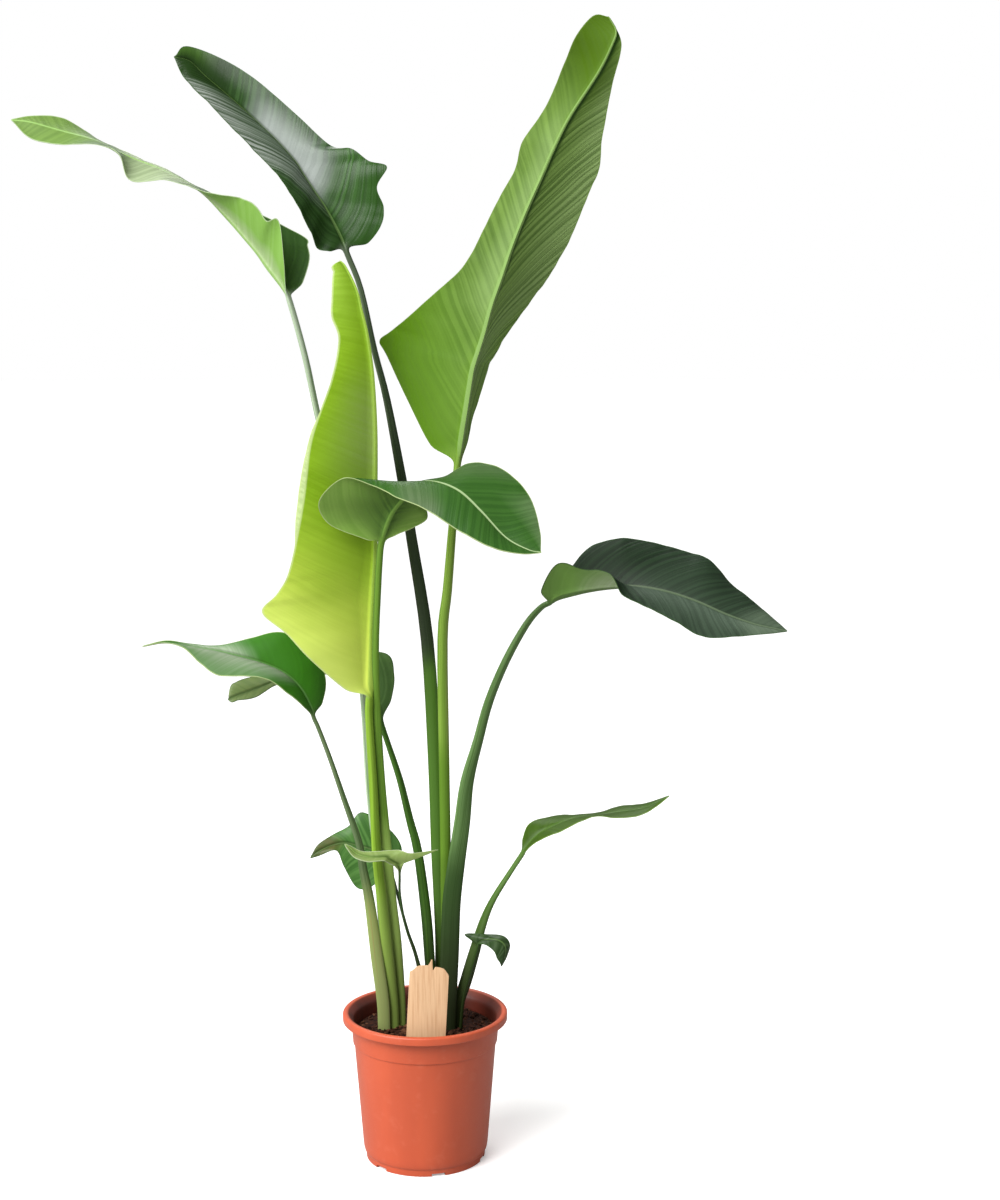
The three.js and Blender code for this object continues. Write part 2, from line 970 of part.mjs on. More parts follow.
// The pot: a tapered wall with a shallow band under a rolled lip, on a notched foot ring.
function makePot() {
  const lipFoot = POT_HEIGHT - LIP_HEIGHT;
  const profile = [
    [0, 0],
    [CENTRE_PAD_RADIUS, 0],
    [CENTRE_PAD_RADIUS + 2, CHANNEL_DEPTH],
    [FOOT_RADIUS - FOOT_WIDTH - 1, CHANNEL_DEPTH],
    [FOOT_RADIUS - FOOT_WIDTH, 0],
    [FOOT_RADIUS - 0.8, 0],
    [FOOT_RADIUS, 1],
    [FOOT_RADIUS, FOOT_HEIGHT - 1],
    [FOOT_RADIUS + 0.6, FOOT_HEIGHT],
    [wallRadius(9) - 1, 9],
    [wallRadius(13), 13],
    [wallRadius(BAND_HEIGHT - 1), BAND_HEIGHT - 1],
    [wallRadius(BAND_HEIGHT) + BAND_STEP, BAND_HEIGHT],
    [wallRadius(lipFoot + 1) + BAND_STEP, lipFoot + 1],
    [RIM_RADIUS - 4.4, POT_HEIGHT - 3.2],
    [RIM_RADIUS - 1.9, POT_HEIGHT - 3.6],
    [RIM_RADIUS - 1.9, lipFoot + 0.4],
    [RIM_RADIUS - 1.4, lipFoot],
    [RIM_RADIUS - 0.6, lipFoot],
    [RIM_RADIUS, lipFoot + 0.8],
    [RIM_RADIUS, POT_HEIGHT - 2.6],
    [RIM_RADIUS - 0.8, POT_HEIGHT - 0.9],
    [RIM_RADIUS - 2.6, POT_HEIGHT],
    [RIM_RADIUS - 4.6, POT_HEIGHT - 0.3],
    [RIM_RADIUS - 5.8, POT_HEIGHT - 1.2],
    [innerRadius(lipFoot) + 0.6, lipFoot + 1.6],
    [innerRadius(lipFoot - 2), lipFoot - 2],
    [innerRadius(FLOOR_TOP + 3), FLOOR_TOP + 3],
    [innerRadius(FLOOR_TOP) - 2, FLOOR_TOP],
    [0, FLOOR_TOP],
  ];
  let body = solid(turned(profile, POT_SIDES));
  for (let i = 0; i < DRAIN_COUNT; i += 1) {
    const angle = (i * 2 * Math.PI) / DRAIN_COUNT;
    const drain = new THREE.CylinderGeometry(DRAIN_RADIUS, DRAIN_RADIUS, 20, 16)
      .rotateX(Math.PI / 2)
      .translate(DRAIN_CIRCLE * Math.cos(angle), DRAIN_CIRCLE * Math.sin(angle), 0);
    body = body.subtract(solid(drain));
    const notch = new THREE.BoxGeometry(FOOT_WIDTH + 6, NOTCH_WIDTH, 2 * NOTCH_DEPTH)
      .translate(FOOT_RADIUS - FOOT_WIDTH / 2, 0, 0)
      .rotateZ(angle + NOTCH_TURN);
    body = body.subtract(solid(notch));
  }
  return meshGeometry(body);
}

// A repeatable draw between 0 and 1.
function drawFrom(seed) {
  let state = seed;
  return () => {
    state = (state * 16807) % 2147483647;
    return state / 2147483647;
  };
}

// The soil fills the pot. Its top is a little uneven and has a plain hole for each stalk and the label.
function makeSoil(holes) {
  const draw = drawFrom(SOIL_SEED);
  const profile = [
    [0, FLOOR_TOP + GAP],
    [innerRadius(FLOOR_TOP) - 2 - GAP, FLOOR_TOP + GAP],
    [innerRadius(FLOOR_TOP + 3) - GAP, FLOOR_TOP + 3 + GAP],
    [innerRadius(SOIL_TOP - 3) - GAP, SOIL_TOP - 3],
    [innerRadius(SOIL_TOP - 3) - 6, SOIL_TOP - 1],
    [52, SOIL_TOP],
    [36, SOIL_TOP],
    [20, SOIL_TOP],
    [0, SOIL_TOP],
  ];
  const plain = turned(profile, 32);
  plain.deleteAttribute("normal");
  plain.deleteAttribute("uv");
  const geometry = mergeVertices(plain, 1e-3);
  const p = geometry.getAttribute("position");
  for (let i = 0; i < p.count; i += 1) {
    const inner = Math.hypot(p.getX(i), p.getY(i)) < innerRadius(SOIL_TOP) - 5;
    if (inner && p.getZ(i) > SOIL_TOP - 2) {
      p.setZ(i, p.getZ(i) + (draw() - 0.5) * 2 * SOIL_ROUGHNESS);
    }
  }
  let body = solid(geometry);
  for (const hole of holes) body = body.subtract(solid(hole));
  return meshGeometry(body);
}

// The label's outline: straight sides, cut corners and a small tongue between two lobes on top.
function labelShape(margin) {
  const half = LABEL_WIDTH / 2 + margin;
  const foot = LABEL_FOOT - margin;
  const outline = [
    [-half, foot],
    [half, foot],
    [half, LABEL_TOP - 8],
    [half - 2, LABEL_TOP - 4],
    [half - 6, LABEL_TOP],
    [half - 14, LABEL_TOP + 1],
    [3.5, LABEL_TOP - 3],
    [2.5, LABEL_TOP + 8],
    [1.4, LABEL_TOP + 8.4],
    [-1.5, LABEL_TOP + 2],
    [-8, LABEL_TOP + 2],
    [-half + 6, LABEL_TOP],
    [-half + 4, LABEL_TOP - 3],
    [-half, LABEL_TOP - 5],
  ];
  return new THREE.Shape(outline.map(([x, y]) => new THREE.Vector2(x, y)));
}

function labelBody(margin) {
  const depth = LABEL_THICKNESS + 2 * margin;
  const geometry = new THREE.ExtrudeGeometry(labelShape(margin), { depth, bevelEnabled: false });
  return geometry
    .translate(0, -LABEL_FOOT, -depth / 2)
    .rotateZ(-LABEL_TILT)
    .translate(0, LABEL_FOOT, 0)
    .rotateX(Math.PI / 2)
    .translate(LABEL_CENTRE, LABEL_FRONT, 0);
}

function named(name, geometry, colour) {
  const flat = geometry.index ? geometry.toNonIndexed() : geometry;
  flat.computeVertexNormals();
  const mesh = new THREE.Mesh(
    flat,
    new THREE.MeshStandardMaterial({ color: COLOURS[colour], roughness: 0.6, flatShading: true }),
  );
  mesh.name = name;
  return mesh;
}

const plant = new THREE.Group();
plant.name = "potted_bird_of_paradise";
plant.add(named("pot", makePot(), "pot"));
plant.add(named("soil", makeSoil([...LEAVES.map(stalkHole), labelBody(GAP)]), "soil"));
plant.add(named("plant_label", meshGeometry(solid(labelBody(0))), "label"));
for (const leaf of LEAVES) {
  plant.add(named(leaf.name, facingOut(loft(leafRings(leaf))), leaf.colour));
}

export default plant;
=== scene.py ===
"""A potted giant white bird of paradise: twelve leaves, soil, a nursery pot and a wooden label.

Metres, +Z up, origin on the pot's axis at the ground. The fan of leaves is seen broadside from -Y.
The shape tables are in millimetres.
"""

import logging
import math
import random
from collections.abc import Callable
from dataclasses import dataclass, replace
from enum import Enum

import bpy
import numpy as np
from mathutils import Euler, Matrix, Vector


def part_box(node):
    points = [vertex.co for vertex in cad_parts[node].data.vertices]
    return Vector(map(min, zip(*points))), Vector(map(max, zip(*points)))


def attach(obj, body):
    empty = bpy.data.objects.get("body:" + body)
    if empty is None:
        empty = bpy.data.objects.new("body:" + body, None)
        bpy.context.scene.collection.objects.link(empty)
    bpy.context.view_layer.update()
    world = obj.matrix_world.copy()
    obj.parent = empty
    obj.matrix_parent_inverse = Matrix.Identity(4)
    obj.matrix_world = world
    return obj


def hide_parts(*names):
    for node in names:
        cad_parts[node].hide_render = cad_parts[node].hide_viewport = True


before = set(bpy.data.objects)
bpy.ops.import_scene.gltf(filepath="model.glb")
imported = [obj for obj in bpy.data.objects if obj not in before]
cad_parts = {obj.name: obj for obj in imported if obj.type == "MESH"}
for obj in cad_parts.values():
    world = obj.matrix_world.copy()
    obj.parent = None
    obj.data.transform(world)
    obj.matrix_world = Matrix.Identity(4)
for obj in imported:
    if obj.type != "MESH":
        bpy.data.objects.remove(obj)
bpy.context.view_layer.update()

log = logging.getLogger("plant")

MM = 0.001
BODY = "root"
WELD = 1e-7  # points closer than this are one, in metres
LEAF_CREASE = 55  # degrees
ROUNDED_SHARE = 0.45  # the most of an edge that the rounding of one corner takes

# Of every leaf: lengths in millimetres, as in the shape tables, and shares.
PLANT_OFF_AXIS = -1.5
STALK_FOOT = 104
TIP_HALF_WIDTH = 1.3
RIB_AT_TIP = 0.8
RIB_SHARE_LIMIT = 0.4  # the most of a half's width that the midrib takes
NAME_SHIFT = 0.37  # from one leaf's ruffle to the next
WAVES = ((1.0, 1.0, 1.0), (1.7, 2.3, 0.6), (3.1, 1.1, 0.4))  # turns, start and height
WAVES_HEIGHT = 1.6
RIB_COLUMNS = (0.0, 0.35, 0.7, 1.0, 1.35)  # in half widths of the midrib

# Of every leaf's material, in metres.
HALF_BLUR = 0.0004
HEIGHT_BLUR = 0.05
STALK_EDGE = 0.0045
LOWER_FADE = 0.06
WITHERED_SPAN = (0.33, 0.24)
FOOT_SPAN = (0.33, 0.19)
FAN = (-0.03, 0.08)  # where the side veins fan out
VEIN_DEPTH = 0.0002

# Of every leaf's material, as shares, or as patches and fibres to the metre.
SLOPE_AT_BASE = 0.2
FINE_VEINS = 2.1  # to each broad one
FINE_SHARE = 0.4
RIB_EDGES = (0.32, 0.68)
PATCH_PULL = 0.12
OFF_RIB = (0.9, 0.5)
ON_RIB = (0.5, 0.85)
RIB_SHADOW_EDGES = (2.2, 0.8)  # in widths of the painted shadow beside the midrib
MARGIN_EDGES = (1.8, 0.5)  # in widths of the pale margin
STREAKS = (0.3, 0.7)
THREADS = (0.5, 0.62)
FLANK_START = 0.2
COVER = 0.85
MARGIN_COVER = 0.8
SUNLIT_SHARE = 0.4
ROUGHNESS_SWING = 0.16
LEAF_SHINE = 0.16
PATCHES = 16.0
FIBRES_ACROSS = 700.0
FIBRES_ALONG = 7.0

Point = tuple[float, float, float]
Colour = Point
Pair = tuple[float, float]
Rows = tuple[tuple[float, ...], ...]
Feed = bpy.types.NodeSocket | float | tuple[float, ...]

WITHERED: Colour = (0.3, 0.2, 0.07)
PALE_MIDRIB: Colour = (0.36, 0.48, 0.24)


class Tone(Enum):
    """The record's three leaf finishes."""

    BRIGHT = "leaf_bright"
    MID = "leaf_mid"
    DARK = "leaf_dark"


class Face(Enum):
    """The two faces of a blade."""

    UNDER = 0.0
    UPPER = 1.0


@dataclass(frozen=True)
class LeafShape:
    """One leaf's stations in millimetres.

    Stalk rows are x, y, z, half width and half depth, from the soil up. Midrib rows are x, y, z
    from the blade's base to its tip. Left and right are the steps from midrib to margin at the
    same stations, base and tip left out. Bow is the arch of each half over its width.
    """

    node: str
    tone: Tone
    bow: float
    stalk: Rows
    midrib: Rows
    left: Rows
    right: Rows


LEAF_SHAPES = (
    LeafShape(
        node="leaf_top_right",
        tone=Tone.MID,
        bow=0.05,
        stalk=(
            (20, -1.5, 138, 4.8, 3), (21, -1.5, 165, 5, 3), (23, -1.5, 214, 5, 3.2),
            (23, -1.5, 270, 5.2, 3.4), (23, -2.5, 324, 5.4, 3.6), (22, -5, 414, 5.4, 4),
            (21, -9, 537, 5.3, 4), (26, -10, 587, 4.8, 3.8), (31, -12, 647, 4.2, 3.4),
            (35, -14, 692, 3.6, 3),
        ),
        midrib=(
            (36, -14, 708), (40, -16, 735), (45, -18, 765), (50, -19.5, 796), (52, -20, 806),
            (54.5, -20.5, 814), (62, -22, 837), (70, -25, 865), (80, -28.5, 893), (90, -32, 922),
            (103, -37, 954), (117, -42, 985), (129.5, -48, 1013), (144, -54, 1041),
            (169, -66, 1078.4), (181.4, -74, 1102.7), (184.9, -75.5, 1115), (178.6, -76, 1127),
        ),
        left=(
            (6, 20, -3), (6, 40, -10), (13, 57, -3), (15, 62, 0), (16, 60, -1), (19.5, 55, -5),
            (33, 45, -2), (39, 40, -9), (44, 35, -15), (46, 30, -18), (45, 25, -16), (43, 22, -19),
            (31, 18, -18), (14.5, 10, -7), (8.2, 5, -7.4), (4.3, 2.5, -5.9),
        ),
        right=(
            (-30, 5, -5), (-56, 15, 5), (-83, 23, 20.5), (-92, 25, 25), (-84, 24, 26),
            (-74, 20, 17), (-51, 18, 16), (-38, 16, 9), (-31, 15, 9), (-29, 13, 7), (-25, 12, 8),
            (-30, 11, 6), (-23, 10, 9), (-31.4, 6, 8.9), (-33.2, 3, 8.5), (-20.9, 1.5, 14),
        ),
    ),
    LeafShape(
        node="leaf_front_left",
        tone=Tone.BRIGHT,
        bow=-0.05,
        stalk=(
            (-30, -1.5, 138, 5.2, 3.4), (-31, -2, 165, 5.4, 3.5), (-37, -5, 226, 6, 4),
            (-41, -8, 271, 6.2, 4.2), (-46, -12, 323, 6.4, 4.2), (-48.5, -18, 392, 6.2, 4),
            (-51.5, -25, 459, 5.6, 3.8),
        ),
        midrib=(
            (-51, -28, 480), (-50, -29, 500), (-48.5, -30, 540), (-47.5, -30.5, 560),
            (-46.5, -31, 580), (-45.3, -31.5, 604.5), (-44, -32, 629), (-43, -33, 688),
            (-42.5, -33, 746), (-45, -32, 799), (-50, -30, 837), (-55, -28.5, 859),
            (-60, -27, 880), (-70, -25, 901), (-75, -24, 907),
        ),
        left=(
            (-20, 12, -9), (-50, 20, -18), (-69, 23, -18.5), (-88, 26, -19), (-85, 27, -19),
            (-82, 28, -19), (-79, 28, -18), (-66, 25, -9), (-37, 18, -3), (-22, 12, -5),
            (-20, 9, -7), (-18, 7, -9), (-8, 3, -6),
        ),
        right=(
            (-24, -9, -8), (-59, -20, -15.5), (-82, -22, -10.5), (-106, -23, -9),
            (-91.5, -23, -14.5), (-81, -22, -15), (-69, -19, -11), (-61, -17, -9), (-39, -12, -5),
            (-27, -8, -5), (-28.5, -7, -5), (-23.5, -6, -10), (-12, -3, -4),
        ),
    ),
    LeafShape(
        node="leaf_top_left",
        tone=Tone.DARK,
        bow=0.06,
        stalk=(
            (15, 5.5, 138, 5.8, 3.2), (16, 6, 165, 6, 3.2), (18, 6.5, 214, 6.2, 3.4),
            (16.5, 7, 266, 6.2, 3.6), (14.5, 8, 320, 6.6, 3.8), (12, 10, 410, 6.8, 4),
            (5, 12, 533, 6.4, 4), (-10, 15, 634, 5.4, 3.6), (-19.5, 17, 694, 4.8, 3.3),
            (-34, 19, 773, 3.7, 2.6), (-46, 21, 821, 3.1, 2.3), (-59, 23, 881, 2.8, 2.1),
        ),
        midrib=(
            (-72, 25, 915), (-78, 28, 931), (-85, 32, 945), (-96, 38, 964), (-103.5, 42, 974.5),
            (-110, 46, 984), (-118, 50.5, 996), (-125, 55, 1007), (-143, 64, 1027),
            (-166, 76, 1049), (-194, 90, 1074), (-220, 102, 1096), (-235.9, 110, 1111.4),
            (-251.3, 112, 1115.6),
        ),
        left=(
            (-11, -10, -13), (-16, -15, -24), (-10, -30, -28), (-8, -36, -28), (-6, -42, -27),
            (-6.5, -42, -25.5), (-7, -42, -24), (-8, -38, -23), (-10, -34, -20), (-15.5, -28, -11),
            (-16, -18, -7), (-9.1, -8, -10.8),
        ),
        right=(
            (26.5, -8, -5), (46.5, -12, -2), (60, -15, -3), (61, -17, 6), (77.5, -20, 16),
            (67.5, -20, 10), (57.5, -20, 11), (54, -18, -5), (42.5, -15, 4), (30, -12, 14),
            (20, -8, 15), (-2.1, -4, 14.2),
        ),
    ),
    LeafShape(
        node="leaf_far_left",
        tone=Tone.BRIGHT,
        bow=-0.05,
        stalk=(
            (-38, 2, 138, 4.2, 2.8), (-38, 2.5, 165, 4.2, 2.8), (-41, 4, 222, 4, 3),
            (-44, 6, 267, 3.8, 3), (-48, 9, 317, 3.6, 3), (-55, 12, 385, 3.4, 2.8),
            (-60, 15, 472, 3, 2.6), (-70, 18, 573, 3, 2.6), (-85, 20, 674, 3.8, 2.5),
            (-104, 21, 763, 4.3, 2.5), (-115, 21, 817, 4.3, 2.5),
        ),
        midrib=(
            (-129, 22, 869), (-135, 24, 882), (-151, 26, 903), (-160, 27, 916), (-170, 28, 928),
            (-192, 30, 953), (-217, 32, 978), (-251, 34, 997), (-281, 36, 1009), (-299, 37, 1017),
            (-320, 38, 1027), (-354, 38, 1036), (-383, 38, 1044), (-401, 38, 1046),
        ),
        left=(
            (2, -15, 26), (14, -22, 44), (11, -23, 31), (10, -24, 34), (17, -22, 16), (8, -22, -3),
            (6, -22, -11), (-1, -20, -23), (5, -19, -5), (3, -18, -6), (5, -14, -15), (2, -8, -17),
        ),
        right=(
            (18, 8, 6), (40, 16, 7), (47, 20, 8), (51, 22, 7), (13, 24, 11), (-1, 26, 2.5),
            (-1, 26, 2), (-4, 24, 4), (-4, 22, 4), (-4, 20, 4), (1, 16, 13), (2, 8, 7),
        ),
    ),
    LeafShape(
        node="leaf_arching_centre",
        tone=Tone.MID,
        bow=0.05,
        stalk=(
            (-22.5, 4.5, 138, 4, 2.8), (-23, 4, 165, 4.2, 2.8), (-27, 3, 223, 4.8, 3.2),
            (-31.8, 1, 268, 4.9, 3.2), (-36.2, -4, 321, 5.2, 3), (-40.8, -12, 390, 4.4, 2.8),
            (-43.8, -22, 459, 4.2, 2.5), (-44.2, -33, 530, 3.6, 2.4), (-41, -43, 591, 3.6, 2.4),
            (-38.6, -49, 622, 3.4, 2.4),
        ),
        midrib=(
            (-37, -51, 636), (-33, -55, 651), (-25, -63, 669), (-15, -75, 682), (-7, -82.5, 692),
            (1, -90, 700), (20, -104, 701), (41, -116, 693), (61, -126, 675), (83, -134, 652),
            (104, -140, 641), (115, -142, 639),
        ),
        left=(
            (10, 5, -6), (20, 15, -16), (23, 25, -20), (12, 35, -13), (9, 38, -7), (5, 42, 1),
            (7, 44, 23), (17, 42, 38), (22, 29, 37), (11, 15, 17),
        ),
        right=(
            (-18, -3, -9), (-61, -3, -11), (-79, -1, -1), (-63, -2, 11), (-41, -7, -4),
            (-37, -11, -14), (-29, -16, -17), (-18, -16, -18), (-10, -14, -9), (-7, -7, -3),
        ),
    ),
    LeafShape(
        node="leaf_right",
        tone=Tone.DARK,
        bow=0.06,
        stalk=(
            (24, -8.5, 138, 9, 2.5), (25, -8.6, 165, 9, 2.6), (27, -9, 214, 9.4, 2.7),
            (29, -9.5, 267, 9.5, 2.9), (34, -8.5, 309, 9.2, 3.2), (40, -6, 351, 8.8, 3.6),
            (45, -3, 392, 7.8, 4), (56, 0, 433, 6, 4), (67, 2, 473, 5.6, 3.8),
            (84, 3, 514, 5.2, 3.6), (104, 4, 550, 4.8, 3.2), (118.5, 5, 567, 4.4, 2.8),
        ),
        midrib=(
            (127, 5, 572), (134, 0, 577), (145, -5, 581), (167, -12, 587), (191, -20, 591),
            (215, -28, 592), (242, -36, 588), (269, -44, 580), (296, -52, 569), (323, -58, 560),
            (343, -62, 556), (354, -64, 554),
        ),
        left=(
            (0, 12, 7), (3, 27, 22), (1, 34, 39), (5, 38, 44), (10, 40, 41), (15, 41, 37),
            (15, 39, 37), (10, 34, 25), (6, 23, 16), (3, 10, 6),
        ),
        right=(
            (-15.5, -14, 9.5), (-11, -20, 33.5), (-8.5, -28, 24.5), (-7, -32, 17), (-18, -34, -4),
            (-20, -34, -11), (-20, -32, -17), (-21, -26, -19), (-15, -18, -9), (-8, -8, -4),
        ),
    ),
    LeafShape(
        node="leaf_lower_left",
        tone=Tone.MID,
        bow=0.08,
        stalk=(
            (-40, -8, 138, 6.4, 2.4), (-41, -8, 165, 6.4, 2.4), (-47, -8, 213, 6.2, 2.6),
            (-54, -7, 270, 5.2, 2.8), (-60, -5, 301, 4.4, 2.8), (-65, -2, 331, 3.8, 2.8),
            (-79, 4, 371, 3, 2.4), (-93, 10, 411, 2.5, 2.2), (-105, 15, 442, 2.3, 2),
        ),
        midrib=(
            (-110, 17, 453), (-114, 17, 466), (-124, 18, 484), (-140, 19, 499), (-162, 20, 509),
            (-186, 20, 516), (-210, 19, 522), (-234, 18, 526), (-258, 16, 530), (-280, 14, 527),
        ),
        left=(
            (-6, -11, 1), (-10, -18, -3), (-12, -23, -4), (-13, -26, -9), (-17, -24, -16),
            (-13, -15, -10), (-7, -6, 0), (-3, -2, 0),
        ),
        right=(
            (12, 9, 1), (25, 16, 5), (31, 19, 14), (21, 18, 28), (11, 14, 16), (3, 11, 3),
            (-1, 6, 2), (0, 2, 2),
        ),
    ),
    LeafShape(
        node="leaf_behind_left",
        tone=Tone.DARK,
        bow=0.05,
        stalk=(
            (9, -3, 138, 4.4, 3), (8.5, -3, 165, 4.8, 3), (6, -2, 214, 5.4, 3.2),
            (2.5, 1, 258, 5.4, 3.4), (-5.5, 11, 316, 4.8, 3.2), (-14, 18, 348, 4.2, 3),
            (-24, 29, 386, 3.7, 2.6), (-37, 40, 423, 3.1, 2.4),
        ),
        midrib=(
            (-44, 46, 443), (-47, 50, 460), (-64, 56, 477), (-89, 60, 489), (-116, 62, 492),
            (-144, 62, 486), (-171, 60, 476), (-194, 57, 468), (-201, 56, 465),
        ),
        left=(
            (-6, -10, 3), (-5, -16, 3), (-5, -16, 7), (-6, -14, -9), (-7, -12, -5), (-1, -8, -8),
            (2, -3, -4),
        ),
        right=(
            (13, 6, 4), (33, 8, 12), (48, 10, 22), (23, 12, 16), (10, 12, 13), (3, 10, 13),
            (-1, 7, 13),
        ),
    ),
    LeafShape(
        node="leaf_low_dark",
        tone=Tone.DARK,
        bow=0.05,
        stalk=(
            (0, -9, 138, 2, 1.8), (-2, -9, 182, 2, 1.8), (-7, -6, 211, 1.9, 1.7),
            (-16, 4, 234, 1.7, 1.5), (-24, 16, 259, 1.5, 1.4),
        ),
        midrib=(
            (-33, 30, 287), (-40, 34, 301), (-54, 37, 311), (-68, 38, 315), (-82, 38, 318),
            (-95, 36, 316), (-109, 33, 310), (-116, 31, 305),
        ),
        left=(
            (-2, -10, -16), (-1, -17, -35), (-1, -18, -39), (0, -14, -21), (5, -6, -4),
            (1, -2, -4),
        ),
        right=(
            (17, 4, 10), (18, 7, 20), (4, 10, 33), (4, 8, 16), (1, 6, 10), (0, 3, 7),
        ),
    ),
    LeafShape(
        node="leaf_low_pale",
        tone=Tone.BRIGHT,
        bow=0.04,
        stalk=(
            (3, -13, 138, 1.8, 1.6), (4, -14, 158, 1.8, 1.6), (1, -15, 184, 1.7, 1.5),
            (-6, -18, 214, 1.6, 1.4), (-17, -24, 250, 1.4, 1.3), (-22, -29, 282, 1.3, 1.2),
        ),
        midrib=(
            (-22, -32, 302), (-22.5, -33, 310), (-23.2, -33.5, 312.5), (-24, -34, 315),
            (-28, -35, 317.7), (-32, -36, 320.4), (-36, -37, 323), (-51, -39, 323),
            (-64, -38, 326), (-72, -34, 332), (-76, -30, 334),
        ),
        left=(
            (-0.9, -4, -0.6), (-2, -5, -0.2), (-3.1, -6, -0.2), (-3, -7.5, -0.2), (-1.8, -9, -0.7),
            (-2.5, -11, -1), (-1.5, -11, -1.2), (-2, -8, -1), (-2, -4, 0),
        ),
        right=(
            (6, -3, 8), (13.8, -3, 9.5), (40.5, -4, 16), (18.7, -3, 9.8), (13.7, -1, 8.8),
            (10.6, 3, 6.5), (5, 5, 5), (4, 5, 2), (1, 3, 1),
        ),
    ),
    LeafShape(
        node="leaf_low_right",
        tone=Tone.MID,
        bow=0.05,
        stalk=(
            (34, 0, 138, 5.4, 3.8), (36, 0, 160, 5.6, 3.8), (43.5, -1, 185, 6.2, 3.8),
            (52.5, -3, 217, 6, 3.6), (61.5, -3, 248, 5, 3), (72, -4, 272, 3.8, 2.6),
            (90.5, -4, 302, 3.2, 2.1),
        ),
        midrib=(
            (100, -5, 317), (105, -6, 326), (118, -8, 340), (138, -10, 351), (158, -12, 358),
            (176, -14, 360), (198, -16, 364), (220, -18, 368), (236, -20, 376), (246, -21, 381),
        ),
        left=(
            (-4, 8, 6), (-9, 16, 7), (-4, 22, 2), (-1, 24, -4), (1, 22, -3), (3, 18, 2),
            (1, 14, 1), (1, 8, 0),
        ),
        right=(
            (4, -8, 2), (3, -14, -2), (-1, -18, -5), (-1, -18, -1), (-1, -18, 3), (-1, -18, -2),
            (-3, -14, -4), (-2, -6, -4),
        ),
    ),
    LeafShape(
        node="leaf_low_folded",
        tone=Tone.DARK,
        bow=0.03,
        stalk=(
            (38, -8, 138, 1.7, 1.5), (41, -8, 167, 1.6, 1.4), (48, -9, 196, 1.5, 1.3),
            (52, -10, 211, 1.4, 1.2),
        ),
        midrib=(
            (55, -11, 222), (58, -12, 229), (67, -15, 232), (77, -19, 232), (83, -22, 227),
            (83, -24, 218), (80, -25, 208),
        ),
        left=(
            (-16, 4, 6), (-2, 7, 3), (4, 9, 2), (5, 6, 0), (2, 3, -2),
        ),
        right=(
            (-2, -4, -2), (-3, -7, -4), (-5, -8, -9), (-8, -6, -11), (-5, -3, -7),
        ),
    ),
)


def deselect() -> None:
    """Nothing stays selected."""
    bpy.ops.object.select_all(action="DESELECT")


def take(piece: bpy.types.Object) -> None:
    """Selects one object alone and makes it the active one.

    Args:
        piece: The object to select.
    """
    deselect()
    piece.select_set(True)
    bpy.context.view_layer.objects.active = piece


def settle(piece: bpy.types.Object) -> None:
    """Puts an object's place, turn and scale into its mesh."""
    take(piece)
    bpy.ops.object.transform_apply(location=True, rotation=True, scale=True)


def added(name: str, operator: Callable[..., set[str]], **settings: object) -> bpy.types.Object:
    """Adds one object with an operator, while nothing else is selected.

    Args:
        name: The new object's name.
        operator: The operator that adds it.
        **settings: The operator's settings.

    Returns:
        The new object.
    """
    deselect()
    operator(**settings)
    bpy.context.object.name = name
    return bpy.context.object


def modify(piece: bpy.types.Object, kind: str, **settings: object) -> None:
    """Gives the active piece a modifier and applies it.

    Args:
        piece: The active piece.
        kind: Blender's name for the modifier.
        **settings: The modifier's settings.
    """
    modifier = piece.modifiers.new(kind.lower(), kind)
    for name, value in settings.items():
        setattr(modifier, name, value)
    bpy.ops.object.modifier_apply(modifier=modifier.name)


def edit() -> None:
    """Goes into edit mode with everything selected."""
    bpy.ops.object.mode_set(mode="EDIT")
    bpy.ops.mesh.select_all(action="SELECT")


def close_up() -> None:
    """In edit mode, closes what is open, turns all faces outwards and goes back to object mode."""
    bpy.ops.mesh.select_all(action="SELECT")
    bpy.ops.mesh.fill_holes(sides=0)
    bpy.ops.mesh.select_all(action="SELECT")
    bpy.ops.mesh.normals_make_consistent(inside=False)
    bpy.ops.object.mode_set(mode="OBJECT")


def smooth(degrees: float) -> None:
    """Shades the active piece smooth, but creased where faces meet at more than this angle."""
    bpy.ops.object.shade_smooth_by_angle(angle=math.radians(degrees))


def join(piece: bpy.types.Object, others: list[bpy.types.Object]) -> None:
    """Joins other objects to a piece.

    Args:
        piece: The piece that they are joined to.
        others: The objects to join.
    """
    take(piece)
    for other in others:
        other.select_set(True)
    bpy.ops.object.join()


def turned(name: str, section: list[Pair], sides: int) -> bpy.types.Object:
    """Turns a section round the axis ring by ring and closes both ends.

    Args:
        name: The new piece's name.
        section: Radius and height of each ring, in millimetres.
        sides: How many points each ring has.

    Returns:
        The turned body.
    """
    (radius, z), *rings = [(wide * MM, high * MM) for wide, high in section]
    circle, place = bpy.ops.mesh.primitive_circle_add, (0.0, 0.0, z)
    piece = added(name, circle, vertices=sides, radius=radius, location=place)
    settle(piece)
    edit()
    bpy.ops.mesh.select_mode(type="EDGE")
    for next_radius, next_z in rings:
        bpy.ops.mesh.extrude_edges_move(TRANSFORM_OT_translate={"value": (0.0, 0.0, next_z - z)})
        grow = next_radius / radius
        bpy.ops.transform.resize(value=(grow, grow, 1.0))
        radius, z = next_radius, next_z
    close_up()
    return piece


